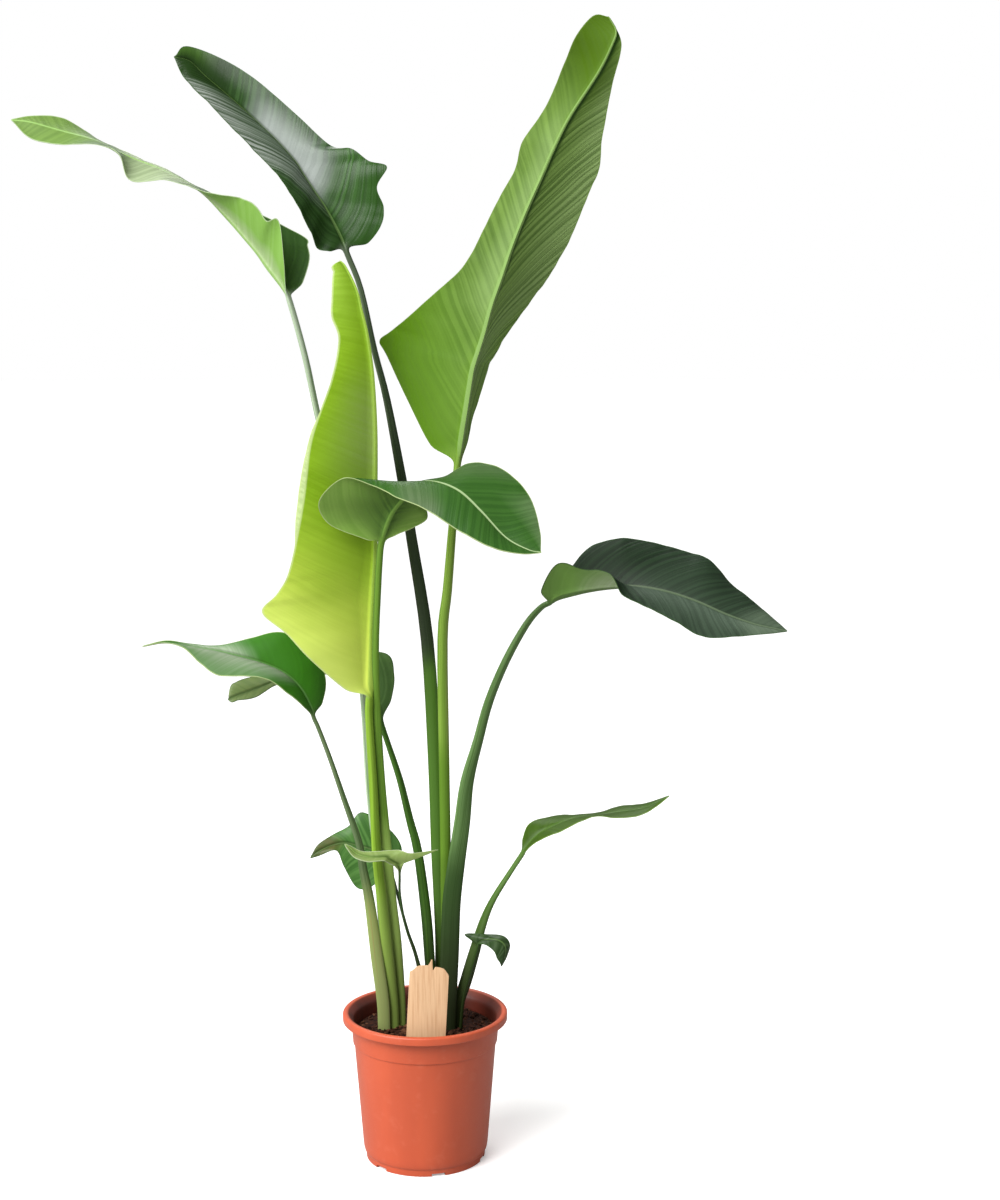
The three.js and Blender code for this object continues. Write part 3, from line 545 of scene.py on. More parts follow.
def place_on_plant(
    piece: bpy.types.Object, node: str, finish: bpy.types.Material
) -> None:
    """Dresses a finished piece and puts it in place of its CAD node.

    Args:
        piece: The finished piece.
        node: The CAD node that it stands for.
        finish: The piece's material.
    """
    piece.data.materials.clear()
    piece.data.materials.append(finish)
    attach(piece, BODY)
    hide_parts(node)
    low, high = map(np.array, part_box(node))
    points = np.array([vertex.co for vertex in piece.data.vertices])
    spill = max((low - points.min(0)).max(), (points.max(0) - high).max()) / MM
    log.info("%s: %d faces, %.1f mm past its node", piece.name, len(piece.data.polygons), spill)


def easing(share: np.ndarray) -> np.ndarray:
    """A smooth step from 0 to 1."""
    held = np.clip(share, 0.0, 1.0)
    return held * held * (3.0 - 2.0 * held)


def unit(vectors: np.ndarray) -> np.ndarray:
    """The vectors at length one."""
    return vectors / np.maximum(np.linalg.norm(vectors, axis=-1, keepdims=True), 1e-12)


def through(rows: np.ndarray, places: np.ndarray, slope: bool = False) -> np.ndarray:
    """A smooth line through every row.

    Args:
        rows: The rows to pass through.
        places: Where to read the line, counted in rows.
        slope: True for the line's direction in place of its points.

    Returns:
        One point or direction for each place.
    """
    padded = np.vstack([2 * rows[0] - rows[1], rows, 2 * rows[-1] - rows[-2]])
    first = np.clip(np.floor(places).astype(int), 0, len(rows) - 2)
    f = (places - first)[:, None]
    p0, p1, p2, p3 = (padded[first + k] for k in range(4))
    linear = p2 - p0
    square = 2 * p0 - 5 * p1 + 4 * p2 - p3
    cube = 3 * p1 - p0 - 3 * p2 + p3
    if slope:
        return 0.5 * (linear + 2 * square * f + 3 * cube * f**2)
    return 0.5 * (2 * p1 + linear * f + square * f**2 + cube * f**3)


def skin(name: str, rings: np.ndarray, marks: dict[str, np.ndarray]) -> bpy.types.Object:
    """A closed skin through rings of equal length.

    The rings' points are computed and written straight onto a grid, which isn't shaped with
    edit mode's operators. Its long seam is then welded.

    Args:
        name: The new piece's name.
        rings: Ring by ring, the points in metres.
        marks: Named values for each of the points, kept for the piece's material.

    Returns:
        The skin, smooth shaded, with both ends closed.
    """
    count, length = rings.shape[:2]
    grid, steps = bpy.ops.mesh.primitive_grid_add, count - 1
    piece = added(name, grid, x_subdivisions=length, y_subdivisions=steps, size=1)
    mesh = piece.data
    flat = np.zeros(len(mesh.vertices) * 3)
    mesh.vertices.foreach_get("co", flat)
    flat = flat.reshape(-1, 3)
    x, y, _ = flat.T.round(5)
    order = np.lexsort((x, y))
    flat[order] = np.concatenate([rings, rings[:, :1]], axis=1).reshape(-1, 3)
    mesh.vertices.foreach_set("co", flat.ravel())
    for mark, values in marks.items():
        spread = np.zeros(len(order))
        spread[order] = np.concatenate([values, values[:, :1]], axis=1).ravel()
        mesh.attributes.new(mark, "FLOAT", "POINT").data.foreach_set("value", spread)
    mesh.update()
    edit()
    bpy.ops.mesh.remove_doubles(threshold=WELD)
    close_up()
    smooth(LEAF_CREASE)
    return piece


class Brush:
    """Adds nodes to one material and joins them."""

    def __init__(self, name: str) -> None:
        """Starts an empty material.

        Args:
            name: The material's name.
        """
        self.material = bpy.data.materials.new(name)
        self.material.use_nodes = True
        self.tree = self.material.node_tree
        self.tree.nodes.clear()

    def feed(self, socket: bpy.types.NodeSocket, value: Feed) -> None:
        """Links a socket to another one, or sets its value.

        Args:
            socket: The input to feed.
            value: Another node's output, a number, a colour or a vector.
        """
        if isinstance(value, bpy.types.NodeSocket):
            self.tree.links.new(value, socket)
        elif isinstance(value, tuple) and len(socket.default_value) > len(value):
            socket.default_value = (*value, 1.0)
        else:
            socket.default_value = value

    def node(self, kind: str, feeds: dict[str | int, Feed], **settings: object) -> bpy.types.Node:
        """Adds one node.

        Args:
            kind: Blender's name for the node.
            feeds: What its inputs get, by name or number.
            **settings: The node's own settings.

        Returns:
            The new node.
        """
        made = self.tree.nodes.new(kind)
        for name, value in settings.items():
            setattr(made, name, value)
        for socket, value in feeds.items():
            self.feed(made.inputs[socket], value)
        return made

    def mark(self, name: str) -> bpy.types.NodeSocket:
        """A named value of the piece's own points."""
        return self.node("ShaderNodeAttribute", {}, attribute_name=name).outputs["Fac"]

    def place(self) -> bpy.types.NodeSocket:
        """The point's place in metres."""
        return self.node("ShaderNodeTexCoord", {}).outputs["Object"]

    def part(self, vector: Feed, axis: int) -> bpy.types.NodeSocket:
        """One of a vector's three numbers."""
        return self.node("ShaderNodeSeparateXYZ", {0: vector}).outputs[axis]

    def math(self, work: str, *values: Feed) -> bpy.types.NodeSocket:
        """The outcome of one sum."""
        return self.node("ShaderNodeMath", dict(enumerate(values)), operation=work).outputs[0]

    def vector(self, *values: Feed) -> bpy.types.NodeSocket:
        """A vector from three numbers."""
        return self.node("ShaderNodeCombineXYZ", dict(enumerate(values))).outputs[0]

    def band(self, value: Feed, low: float, high: float) -> bpy.types.NodeSocket:
        """A smooth rise from 0 at low to 1 at high, or a fall where high is the lower."""
        feeds = {"Value": value, "From Min": low, "From Max": high}
        return self.node("ShaderNodeMapRange", feeds, interpolation_type="SMOOTHSTEP").outputs[0]

    def between(self, share: Feed, low: Feed, high: Feed) -> bpy.types.NodeSocket:
        """A number between two others."""
        return self.node("ShaderNodeMix", {0: share, 2: low, 3: high}, data_type="FLOAT").outputs[0]

    def blend(self, share: Feed, low: Feed, high: Feed) -> bpy.types.NodeSocket:
        """A colour between two others."""
        return self.node("ShaderNodeMix", {0: share, 6: low, 7: high}, data_type="RGBA").outputs[2]

    def product(self, value: Feed, *others: Feed) -> Feed:
        """A value times all the others.

        Args:
            value: The first value.
            *others: What it is multiplied by.

        Returns:
            The product.
        """
        for other in others:
            value = self.math("MULTIPLY", value, other)
        return value

    def over(self, colour: Feed, tint: Feed, *shares: Feed) -> bpy.types.NodeSocket:
        """A tint laid over a colour, as strong as all the shares multiplied together."""
        return self.blend(self.product(*shares), colour, tint)

    def lines(self, place: Feed) -> bpy.types.NodeSocket:
        """Irregular stripes, one step of place to a stripe."""
        feeds = {"W": place, "Scale": 1.0, "Detail": 0.0, "Roughness": 0.6}
        return self.node("ShaderNodeTexNoise", feeds, noise_dimensions="1D").outputs[0]

    def stretched(self, scale: Point) -> bpy.types.NodeSocket:
        """The point's place in metres, scaled along each axis."""
        return self.node("ShaderNodeMapping", {0: self.place(), 3: scale}).outputs[0]

    def cloud(self, vector: Feed, scale: float, detail: float = 3.0) -> bpy.types.NodeSocket:
        """Soft irregular patches.

        Args:
            vector: Where to read the pattern.
            scale: Patches to the metre.
            detail: How many finer layers it has.

        Returns:
            A number between 0 and 1.
        """
        feeds = {"Vector": vector, "Scale": scale, "Detail": detail, "Roughness": 0.55}
        return self.node("ShaderNodeTexNoise", feeds, noise_dimensions="3D").outputs[0]

    def relief(self, height: Feed, depth: float) -> bpy.types.NodeSocket:
        """A bumped normal, where height 1 stands for a depth in metres."""
        feeds = {"Height": height, "Distance": depth, "Strength": 1.0}
        return self.node("ShaderNodeBump", feeds).outputs[0]

    def coat(self, feeds: dict[str | int, Feed]) -> bpy.types.NodeSocket:
        """The main shader, fed by name."""
        return self.node("ShaderNodeBsdfPrincipled", feeds).outputs[0]

    def done(self, shader: bpy.types.NodeSocket) -> bpy.types.Material:
        """Joins the shader to the output.

        Args:
            shader: The finished shader.

        Returns:
            The material.
        """
        self.node("ShaderNodeOutputMaterial", {"Surface": shader})
        return self.material


@dataclass(frozen=True)
class SheenShadeTint:
    """A pale or a dark patch on part of a blade, whose ends follow the veins.

    Most are painted light: sheen where the lights would glint, brightening where they would fall,
    and shade where the blade turns from them. A few are the leaf's own tints at base and tip. Each
    lies between two shares of the blade's length. Upper and under hold its strength on the left and
    the right half of each face, and inner and outer scale it at the midrib and the margin. Ribbed
    is how much weaker it is between the veins, and soft how long its ends are.
    """

    colour: Colour
    start: float = -0.6
    end: float = 1.6
    upper: Pair = (0.0, 0.0)
    under: Pair = (0.0, 0.0)
    inner: float = 1.0
    outer: float = 1.0
    soft: float = 0.14
    ribbed: float = 0.25


@dataclass(frozen=True)
class LeafFinish:
    """A leaf's skin. Colours are linear, lengths in metres, pairs for the left and the right half.

    Upper and under have a light and a deep colour each, for the ribs between the veins. The crease
    colour is painted shadow beside the midrib, whose underside is the keel. Lower gives the stalk
    another colour under each height, from the top down, and the flanks colour its two edges: the
    left with a paler tint, which on some leaves is a painted highlight, and the right with painted
    shade. Slope is how far a side vein runs on for each step outwards, and curve how much it bends
    on towards the margin. The pale and dark patches, mostly painted sheen, brightening and shade,
    are laid over one another in their order, and dry is how withered the old sheath is.
    """

    upper: Colour
    upper_deep: Colour
    under: Colour
    under_deep: Colour
    midrib: Colour
    keel: Colour
    # The crease colour is painted shadow beside the midrib.
    crease: Colour
    margin: Colour
    stalk: Colour
    stalk_deep: Colour
    lower: tuple[tuple[float, Colour], ...] = ()
    foot: Colour = (0.022, 0.028, 0.01)
    # Edge colours: the left a paler tint, which on some leaves is a painted highlight; the right
    # painted shade.
    left_edge_tint_and_highlight: Colour | None = None
    right_edge_shade: Colour | None = None
    sunlit: Colour = (0.4, 0.6, 0.03)
    # Pale and dark patches: mostly painted sheen, painted brightening and painted shade, with a few
    # real tints.
    sheens_shades_tints: tuple[SheenShadeTint, ...] = ()
    gloss: float = 0.38
    matt: float = 0.55
    light_through: float = 0.2
    slope: Pair = (0.8, 0.8)
    curve: Pair = (2.0, 2.0)
    vein_gap: float = 0.0055
    upper_veins: Pair = (0.35, 0.35)
    under_veins: Pair = (0.6, 0.6)
    # How strong the painted shadow beside the midrib is on each half, and how wide it is.
    rib_shadow_sides: Pair = (0.3, 0.5)
    rib_shadow_width: float = 0.0016
    margin_width: float = 0.0007
    dry: float = 0.0

    def vein_place(self, brush: Brush, side: Feed) -> bpy.types.NodeSocket:
        """Where up the midrib the side vein through each point begins, in metres.

        Args:
            brush: The material's brush.
            side: 0 on the left half and 1 on the right.

        Returns:
            The place. The veins fan out at the blade's base.
        """
        along, away = brush.mark("along"), brush.math("ABSOLUTE", brush.mark("across"))
        fan = brush.between(brush.band(along, *FAN), SLOPE_AT_BASE, 1.0)
        fanned = brush.product(brush.between(side, *self.slope), fan)
        curve = brush.between(side, *self.curve)
        back = brush.product(away, brush.math("MULTIPLY_ADD", away, curve, fanned))
        return brush.math("SUBTRACT", along, back)

    def overlay_strength(self, brush: Brush, overlay: SheenShadeTint, side: Feed, reach: Feed) -> Feed:
        """How strong one of the sheens, shades and tints is at each point.

        Args:
            brush: The material's brush.
            overlay: The cast.
            side: 0 on the left half and 1 on the right.
            reach: The share of the blade's length, read along the veins.

        Returns:
            The strength, 0 to 1.
        """
        on_face = (brush.between(side, *overlay.under), brush.between(side, *overlay.upper))
        outward = brush.band(brush.mark("outward"), 0.0, 1.0)
        return brush.product(
            brush.between(brush.mark("face"), *on_face),
            brush.band(reach, overlay.start, overlay.start + overlay.soft),
            brush.band(reach, overlay.end, overlay.end - overlay.soft),
            brush.between(outward, overlay.inner, overlay.outer),
        )

    def blade_colour(
        self, brush: Brush, length: float, patch: Feed
    ) -> tuple[bpy.types.NodeSocket, bpy.types.NodeSocket]:
        """The blade's colour on both faces, with painted sheen and painted shade laid over it.

        Args:
            brush: The material's brush.
            length: The blade's length in metres.
            patch: Soft patches.

        Returns:
            The colour, and the veins' height for the relief.
        """
        face, rib, rim = (brush.mark(mark) for mark in ("face", "rib", "rim"))
        side = brush.band(brush.mark("across"), -HALF_BLUR, HALF_BLUR)
        origin = self.vein_place(brush, side)
        vein_number = brush.math("DIVIDE", origin, self.vein_gap)
        broad, fine = brush.lines(vein_number), brush.lines(brush.product(vein_number, FINE_VEINS))
        ribs = brush.band(brush.between(FINE_SHARE, broad, fine), *RIB_EDGES)

        upper_veins = brush.between(brush.between(side, *self.upper_veins), patch, ribs)
        under_veins = brush.between(brush.between(side, *self.under_veins), patch, ribs)
        upper = brush.blend(upper_veins, self.upper_deep, self.upper)
        under = brush.blend(under_veins, self.under_deep, self.under)
        colour = brush.blend(face, under, upper)
        reach = brush.math("MULTIPLY_ADD", origin, 1.0 / length, brush.product(patch, PATCH_PULL))
        # Lay the pale and dark patches over the veined colour: mostly painted sheen, brightening
        # and shade.
        for overlay in self.sheens_shades_tints:
            veined = brush.math("MULTIPLY_ADD", ribs, overlay.ribbed, 1.0 - overlay.ribbed)
            strength = self.overlay_strength(brush, overlay, side, reach)
            colour = brush.over(colour, overlay.colour, strength, veined)

        # Painted shadow beside the midrib, in the crease colour.
        away = brush.math("ABSOLUTE", brush.mark("across"))
        beside_rib = brush.band(away, *(edge * self.rib_shadow_width for edge in RIB_SHADOW_EDGES))
        off_rib = brush.band(rib, *OFF_RIB)
        in_rib_shadow = brush.between(side, *self.rib_shadow_sides)
        colour = brush.over(colour, self.crease, beside_rib, off_rib, in_rib_shadow)
        midrib = brush.blend(face, self.keel, self.midrib)
        colour = brush.over(colour, midrib, brush.band(rib, *ON_RIB), COVER)
        at_margin = brush.band(rim, *(edge * self.margin_width for edge in MARGIN_EDGES))
        colour = brush.over(colour, self.margin, at_margin, MARGIN_COVER)
        return colour, brush.between(face, under_veins, upper_veins)

    def stalk_colour(self, brush: Brush, fibres: Feed, patch: Feed) -> bpy.types.NodeSocket:
        """The stalk's colour: lengthwise fibres, edge tints with painted highlight and shade, dark
        at the soil, pale where the sheath withers.

        Args:
            brush: The material's brush.
            fibres: The lengthwise streaks.
            patch: Soft patches.

        Returns:
            The colour.
        """
        height = brush.math("MULTIPLY_ADD", patch, HEIGHT_BLUR, brush.part(brush.place(), 2))
        colour = brush.blend(brush.band(fibres, *STREAKS), self.stalk_deep, self.stalk)
        across = brush.mark("across")
        # Edge colours: the left a paler tint, a painted highlight on some leaves; the right painted
        # shade.
        for edge_tint_light_and_shade, edge in ((self.left_edge_tint_and_highlight, -STALK_EDGE), (self.right_edge_shade, STALK_EDGE)):
            if edge_tint_light_and_shade:
                at_edge = brush.band(across, FLANK_START * edge, edge)
                colour = brush.over(colour, edge_tint_light_and_shade, at_edge, COVER)
        for top, tint in self.lower:
            below = brush.band(height, top, top - LOWER_FADE)
            colour = brush.over(colour, tint, below, COVER)
        old, threads = brush.band(height, *WITHERED_SPAN), brush.band(fibres, *THREADS)
        colour = brush.over(colour, WITHERED, old, threads, self.dry)
        return brush.over(colour, self.foot, brush.band(height, *FOOT_SPAN), COVER)

    def material(self, name: str, length: float) -> bpy.types.Material:
        """The leaf's material, which follows the veins from midrib to margin.

        Args:
            name: The material's name.
            length: The blade's length in metres.

        Returns:
            The material.
        """
        brush = Brush(name)
        face, blade, rib = (brush.mark(mark) for mark in ("face", "blade", "rib"))
        patch = brush.cloud(brush.place(), PATCHES)
        across = brush.product(brush.mark("across"), FIBRES_ACROSS)
        along = brush.product(brush.mark("along"), FIBRES_ALONG)
        fibres = brush.cloud(brush.vector(across, along, face), 1.0)
        blade_colour, veins = self.blade_colour(brush, length, patch)
        colour = brush.blend(blade, self.stalk_colour(brush, fibres, patch), blade_colour)

        rough = brush.between(face, self.matt, self.gloss)
        middle = brush.math("SUBTRACT", patch, 0.5)
        rough = brush.math("MULTIPLY_ADD", middle, ROUGHNESS_SWING, rough)
        off_rib = brush.math("SUBTRACT", 1.0, rib)
        height = brush.between(blade, fibres, brush.product(veins, off_rib))
        relief = brush.relief(height, VEIN_DEPTH)
        surface = {"Base Color": colour, "Roughness": rough, "Normal": relief}
        coat = brush.coat({**surface, "Specular IOR Level": LEAF_SHINE})
        lit = {"Color": brush.blend(SUNLIT_SHARE, colour, self.sunlit), "Normal": relief}
        glow = brush.node("ShaderNodeBsdfTranslucent", lit).outputs[0]
        share = brush.product(blade, off_rib, self.light_through)
        mixed = brush.node("ShaderNodeMixShader", {0: share, 1: coat, 2: glow})
        return brush.done(mixed.outputs[0])


MID_LEAF = LeafFinish(
    upper=(0.075, 0.17, 0.025),
    upper_deep=(0.04, 0.1, 0.013),
    under=(0.21, 0.36, 0.05),
    under_deep=(0.13, 0.25, 0.025),
    midrib=(0.2, 0.34, 0.07),
    keel=(0.2, 0.34, 0.07),
    crease=(0.035, 0.1, 0.008),
    margin=(0.2, 0.32, 0.06),
    stalk=(0.13, 0.24, 0.03),
    stalk_deep=(0.05, 0.12, 0.012),
)
YOUNG_LEAF = replace(
    MID_LEAF,
    upper=(0.23, 0.41, 0.025),
    upper_deep=(0.18, 0.34, 0.012),
    under=(0.33, 0.56, 0.022),
    under_deep=(0.24, 0.43, 0.008),
    midrib=(0.36, 0.55, 0.08),
    keel=(0.36, 0.55, 0.08),
    crease=(0.12, 0.25, 0.012),
    margin=(0.75, 0.85, 0.42),
    stalk=(0.27, 0.46, 0.045),
    stalk_deep=(0.17, 0.31, 0.018),
    foot=(0.15, 0.21, 0.045),
    gloss=0.45,
    light_through=0.3,
    under_veins=(0.35, 0.35),
)
DARK_LEAF = replace(
    MID_LEAF,
    upper=(0.032, 0.08, 0.018),
    upper_deep=(0.012, 0.036, 0.006),
    under=(0.13, 0.24, 0.04),
    under_deep=(0.06, 0.14, 0.018),
    midrib=(0.08, 0.14, 0.04),
    keel=(0.08, 0.14, 0.04),
    crease=(0.012, 0.03, 0.006),
    margin=(0.03, 0.08, 0.015),
    stalk=(0.06, 0.15, 0.018),
    stalk_deep=(0.022, 0.065, 0.008),
    foot=(0.012, 0.014, 0.005),
    gloss=0.32,
    light_through=0.06,
    upper_veins=(0.6, 0.6),
)


@dataclass
class Leaf:
    """One leaf: its stalk, its midrib and the two halves of its blade, grown as one skin.

    Columns are the points across one half of one face, and steps the rings from row to row.
    Lengths are in millimetres. Thinning and groove are shares, and the higher their power, the
    narrower groove and keel are. The rib's reach counts in its half widths, and the tip's in
    those of the last ring. A half as wide as the ruffled width has the full ruffle, which dies
    away at the base and at the tip, the faster the higher its two calm numbers.
    """

    shape: LeafShape
    finish: LeafFinish
    columns: int = 14
    stalk_steps: int = 4
    blade_steps: int = 9
    half_thickness: float = 0.4
    thinning: float = 0.3
    groove: float = 0.2
    groove_power: float = 1.5
    keel_power: float = 0.8
    rib_reach: float = 1.3
    tip_reach: float = 0.8
    tip_width: float = 0.35
    ruffle: float = 0.6
    ruffle_length: float = 42.0
    ruffled_width: float = 30.0
    calm_base: float = 4.0
    calm_tip: float = 6.0
    round_tip: bool = False

    def stations(self) -> tuple[np.ndarray, np.ndarray]:
        """Where the rings lie.

        Returns:
            The rings' places along stalk and midrib, counted in rows, and how far up the blade each
            lies, also in rows, negative on the stalk.
        """
        stalk, midrib = len(self.shape.stalk), len(self.shape.midrib)
        low = np.linspace(0, stalk, stalk * self.stalk_steps, endpoint=False)
        high = np.linspace(stalk, stalk + midrib - 2, (midrib - 2) * self.blade_steps + 1)
        tip = stalk + midrib - 2 + np.sin(np.linspace(0, math.pi / 2, self.blade_steps + 1)[1:])
        places = np.concatenate([low, high, tip])
        return places, places - stalk

    def ovals(
        self, centres: np.ndarray, tangents: np.ndarray, places: np.ndarray
    ) -> tuple[np.ndarray, np.ndarray]:
        """The stalk's oval sections, their points in the order of a blade's.

        Args:
            centres: The middle of each ring.
            tangents: The way that the leaf runs there.
            places: Each ring's place, counted in rows.

        Returns:
            One ring of points for each place, and how far each point lies across.
        """
        stalk = np.array(self.shape.stalk, float)
        last = len(stalk) - 1
        top = unit(np.array(self.shape.right[0], float) - np.array(self.shape.left[0], float))
        foot = np.array([-1.0 if top[0] < 0 else 1.0, 0.0, 0.0])
        turn = easing(places / last)[:, None]
        side = unit(foot + (top - foot) * turn)
        side = np.where(places[:, None] >= last, top, side)
        across = unit(side - tangents * (side * tangents).sum(1, keepdims=True))
        up = unit(np.cross(across, tangents))
        size = through(stalk[:, 3:5], np.minimum(places, last))
        steps = np.arange(-self.columns, self.columns + 1) * math.pi / (2 * self.columns + 1)
        angles = np.concatenate([math.pi / 2 - steps, -steps - math.pi / 2])
        wide = across[:, None] * size[:, None, :1] * np.cos(angles)[None, :, None]
        deep = up[:, None] * size[:, None, 1:] * np.sin(angles)[None, :, None]
        return centres[:, None] + wide + deep, size[:, :1] * np.cos(angles)[None]

    def wave(self, lengths: np.ndarray, side: int) -> np.ndarray:
        """The margin's small waves, which differ from leaf to leaf and side to side.

        Args:
            lengths: How far along the midrib each ring lies.
            side: Minus one for the left margin, one for the right.

        Returns:
            The height of the wave at each ring, about -1 to 1.
        """
        start = sum(map(ord, self.shape.node)) * NAME_SHIFT + side
        turns = lengths / self.ruffle_length * 2 * math.pi
        waves = sum(high * np.sin(turns * fast + start * shift) for fast, shift, high in WAVES)
        return waves / WAVES_HEIGHT

    def build(self) -> bpy.types.Object:
        """Models the leaf and puts it in place of its CAD node.

        Returns:
            The finished leaf.
        """
        shape = self.shape
        stalk, midrib = np.array(shape.stalk, float), np.array(shape.midrib, float)
        path = np.vstack([stalk[:, :3], midrib]) + np.array([PLANT_OFF_AXIS, 0.0, 0.0])
        places, up_blade = self.stations()
        centres = through(path, places)
        tangents = unit(through(path, places, slope=True))
        tangents[0] = (0.0, 0.0, 1.0)
        lengths = np.concatenate([[0.0], np.linalg.norm(np.diff(centres, axis=0), axis=1).cumsum()])
        lengths -= lengths[np.searchsorted(up_blade, 0.0)]
        rings, oval_across = self.ovals(centres, tangents, places)
        count = rings.shape[1]
        half = np.ones((len(places), count // 2))
        marks = {
            "along": np.repeat(lengths[:, None], count, axis=1) * MM,
            "across": oval_across * MM,
            "outward": np.zeros(rings.shape[:2]),
            "blade": np.zeros(rings.shape[:2]),
            "rib": np.zeros(rings.shape[:2]),
            "rim": np.ones(rings.shape[:2]),
            "face": np.hstack([half * Face.UPPER.value, half * Face.UNDER.value]),
        }
        on = up_blade >= 0
        sheet, flat_marks = self.blade(up_blade[on], centres[on], tangents[on], lengths[on])
        share = easing(up_blade[on])[:, None]
        rings[on] += (sheet - rings[on]) * share[..., None]
        for mark, values in flat_marks.items():
            held, passed = marks[mark][on], share if mark in ("across", "along") else 1.0
            marks[mark][on] = held + (values - held) * passed
        marks["blade"][on] = np.repeat(share, count, axis=1)

        foot = rings[:1].copy()
        foot[..., 2] = STALK_FOOT
        last = centres[-1] + tangents[-1] * TIP_HALF_WIDTH * self.tip_reach
        tip = last + (rings[-1:] - centres[-1]) * self.tip_width
        rings = np.concatenate([foot, rings, tip]) * MM
        marks = {mark: np.concatenate([v[:1], v, v[-1:]]) for mark, v in marks.items()}
        piece = skin(f"{shape.node}_grown", rings, marks)
        material = self.finish.material(f"{shape.node}_skin", lengths[-1] * MM)
        place_on_plant(piece, shape.node, material)
        return piece

    def margin_steps(self, station: np.ndarray, rows: np.ndarray) -> np.ndarray:
        """The steps from midrib to one margin. A round tip closes as a dome.

        Args:
            station: How far up the blade each ring lies, in rows.
            rows: The margin's rows, base and tip included.

        Returns:
            One step for each ring.
        """
        out = through(rows, station)
        if not self.round_tip:
            return out
        past = np.clip(station - (len(rows) - 2), 0.0, 1.0)[:, None]
        dome = rows[-2] * np.sqrt(1 - past**2) + rows[-1] * past
        return np.where(past > 0, dome, out)

    def blade(
        self, station: np.ndarray, centres: np.ndarray, tangents: np.ndarray, lengths: np.ndarray
    ) -> tuple[np.ndarray, dict[str, np.ndarray]]:
        """The blade's rings: upper face from left to right, then the underside back.

        Args:
            station: How far up the blade each ring lies, in rows.
            centres: The midrib's points.
            tangents: The way that the midrib runs.
            lengths: How far along the midrib each point lies.

        Returns:
            The rings and the values that the material reads.
        """
        shape, n = self.shape, self.columns
        stalk = np.array(shape.stalk, float)
        left, right = np.array(shape.left, float), np.array(shape.right, float)
        neck_width, neck_depth = stalk[-1, 3:5]
        top = unit(right[0] - left[0]) * neck_width
        end = unit(right[-1] - left[-1]) * TIP_HALF_WIDTH
        t = (station / station[-1])[:, None]
        rib_half = neck_width * (1 - t) + RIB_AT_TIP * t
        rib_depth = neck_depth * (1 - t) + RIB_AT_TIP * t
        margins = ((-1, np.vstack([-top, left, -end])), (1, np.vstack([top, right, end])))
        halves = []
        for side, rows in margins:
            out = self.margin_steps(station, rows)
            width = np.linalg.norm(out, axis=1, keepdims=True)
            up = unit(np.cross(out, tangents)) * side
            rib_share = np.minimum(rib_half / width, RIB_SHARE_LIMIT)
            near = rib_share * np.array(RIB_COLUMNS)
            far = near[:, -1:] + (1 - near[:, -1:]) * np.linspace(0, 1, n - 3)[None, 1:]
            q = np.concatenate([near, far], axis=1)
            arch = shape.bow * width * 4 * q * (1 - q)
            high = self.ruffle * np.minimum(width / self.ruffled_width, 1.0)
            lift = high * q**3 * self.wave(lengths, side)[:, None]
            calm = easing(t * self.calm_base) * easing((1 - t) * self.calm_tip)
            rise = up[:, None] * (arch + lift * calm)[..., None]
            points = centres[:, None] + out[:, None] * q[..., None] + rise
            run = (out * tangents).sum(1, keepdims=True)
            square = np.sqrt(np.maximum(width**2 - run**2, 0.0))
            halves.append(
                {
                    "points": points,
                    "along": (lengths[:, None] + q * run) * MM,
                    "across": side * q * square * MM,
                    "rim": width * (1 - q) * MM,
                    "over_rib": q / rib_share,
                    "outward": q,
                }
            )
        left_half, right_half = halves
        joined = {
            key: np.concatenate([values[:, :0:-1], right_half[key]], axis=1)
            for key, values in left_half.items()
        }
        points = joined["points"]
        normals = unit(np.cross(np.gradient(points, axis=1), np.gradient(points, axis=0)))
        rib = np.clip(1 - (joined["over_rib"] / self.rib_reach) ** 2, 0.0, 1.0)
        thick = self.half_thickness * (1 - self.thinning * joined["outward"] ** 2)
        groove = self.groove * rib_depth * rib**self.groove_power
        keel = np.maximum(rib_depth - thick, 0.0) * rib**self.keel_power
        upper = points + normals * (thick - groove)[..., None]
        under = points - normals * (thick + keel)[..., None]
        kept = {key: joined[key] for key in ("along", "across", "rim", "outward")} | {"rib": rib}
        marks = {key: np.concatenate([v, v[:, ::-1]], axis=1) for key, v in kept.items()}
        return np.concatenate([upper, under[:, ::-1]], axis=1), marks


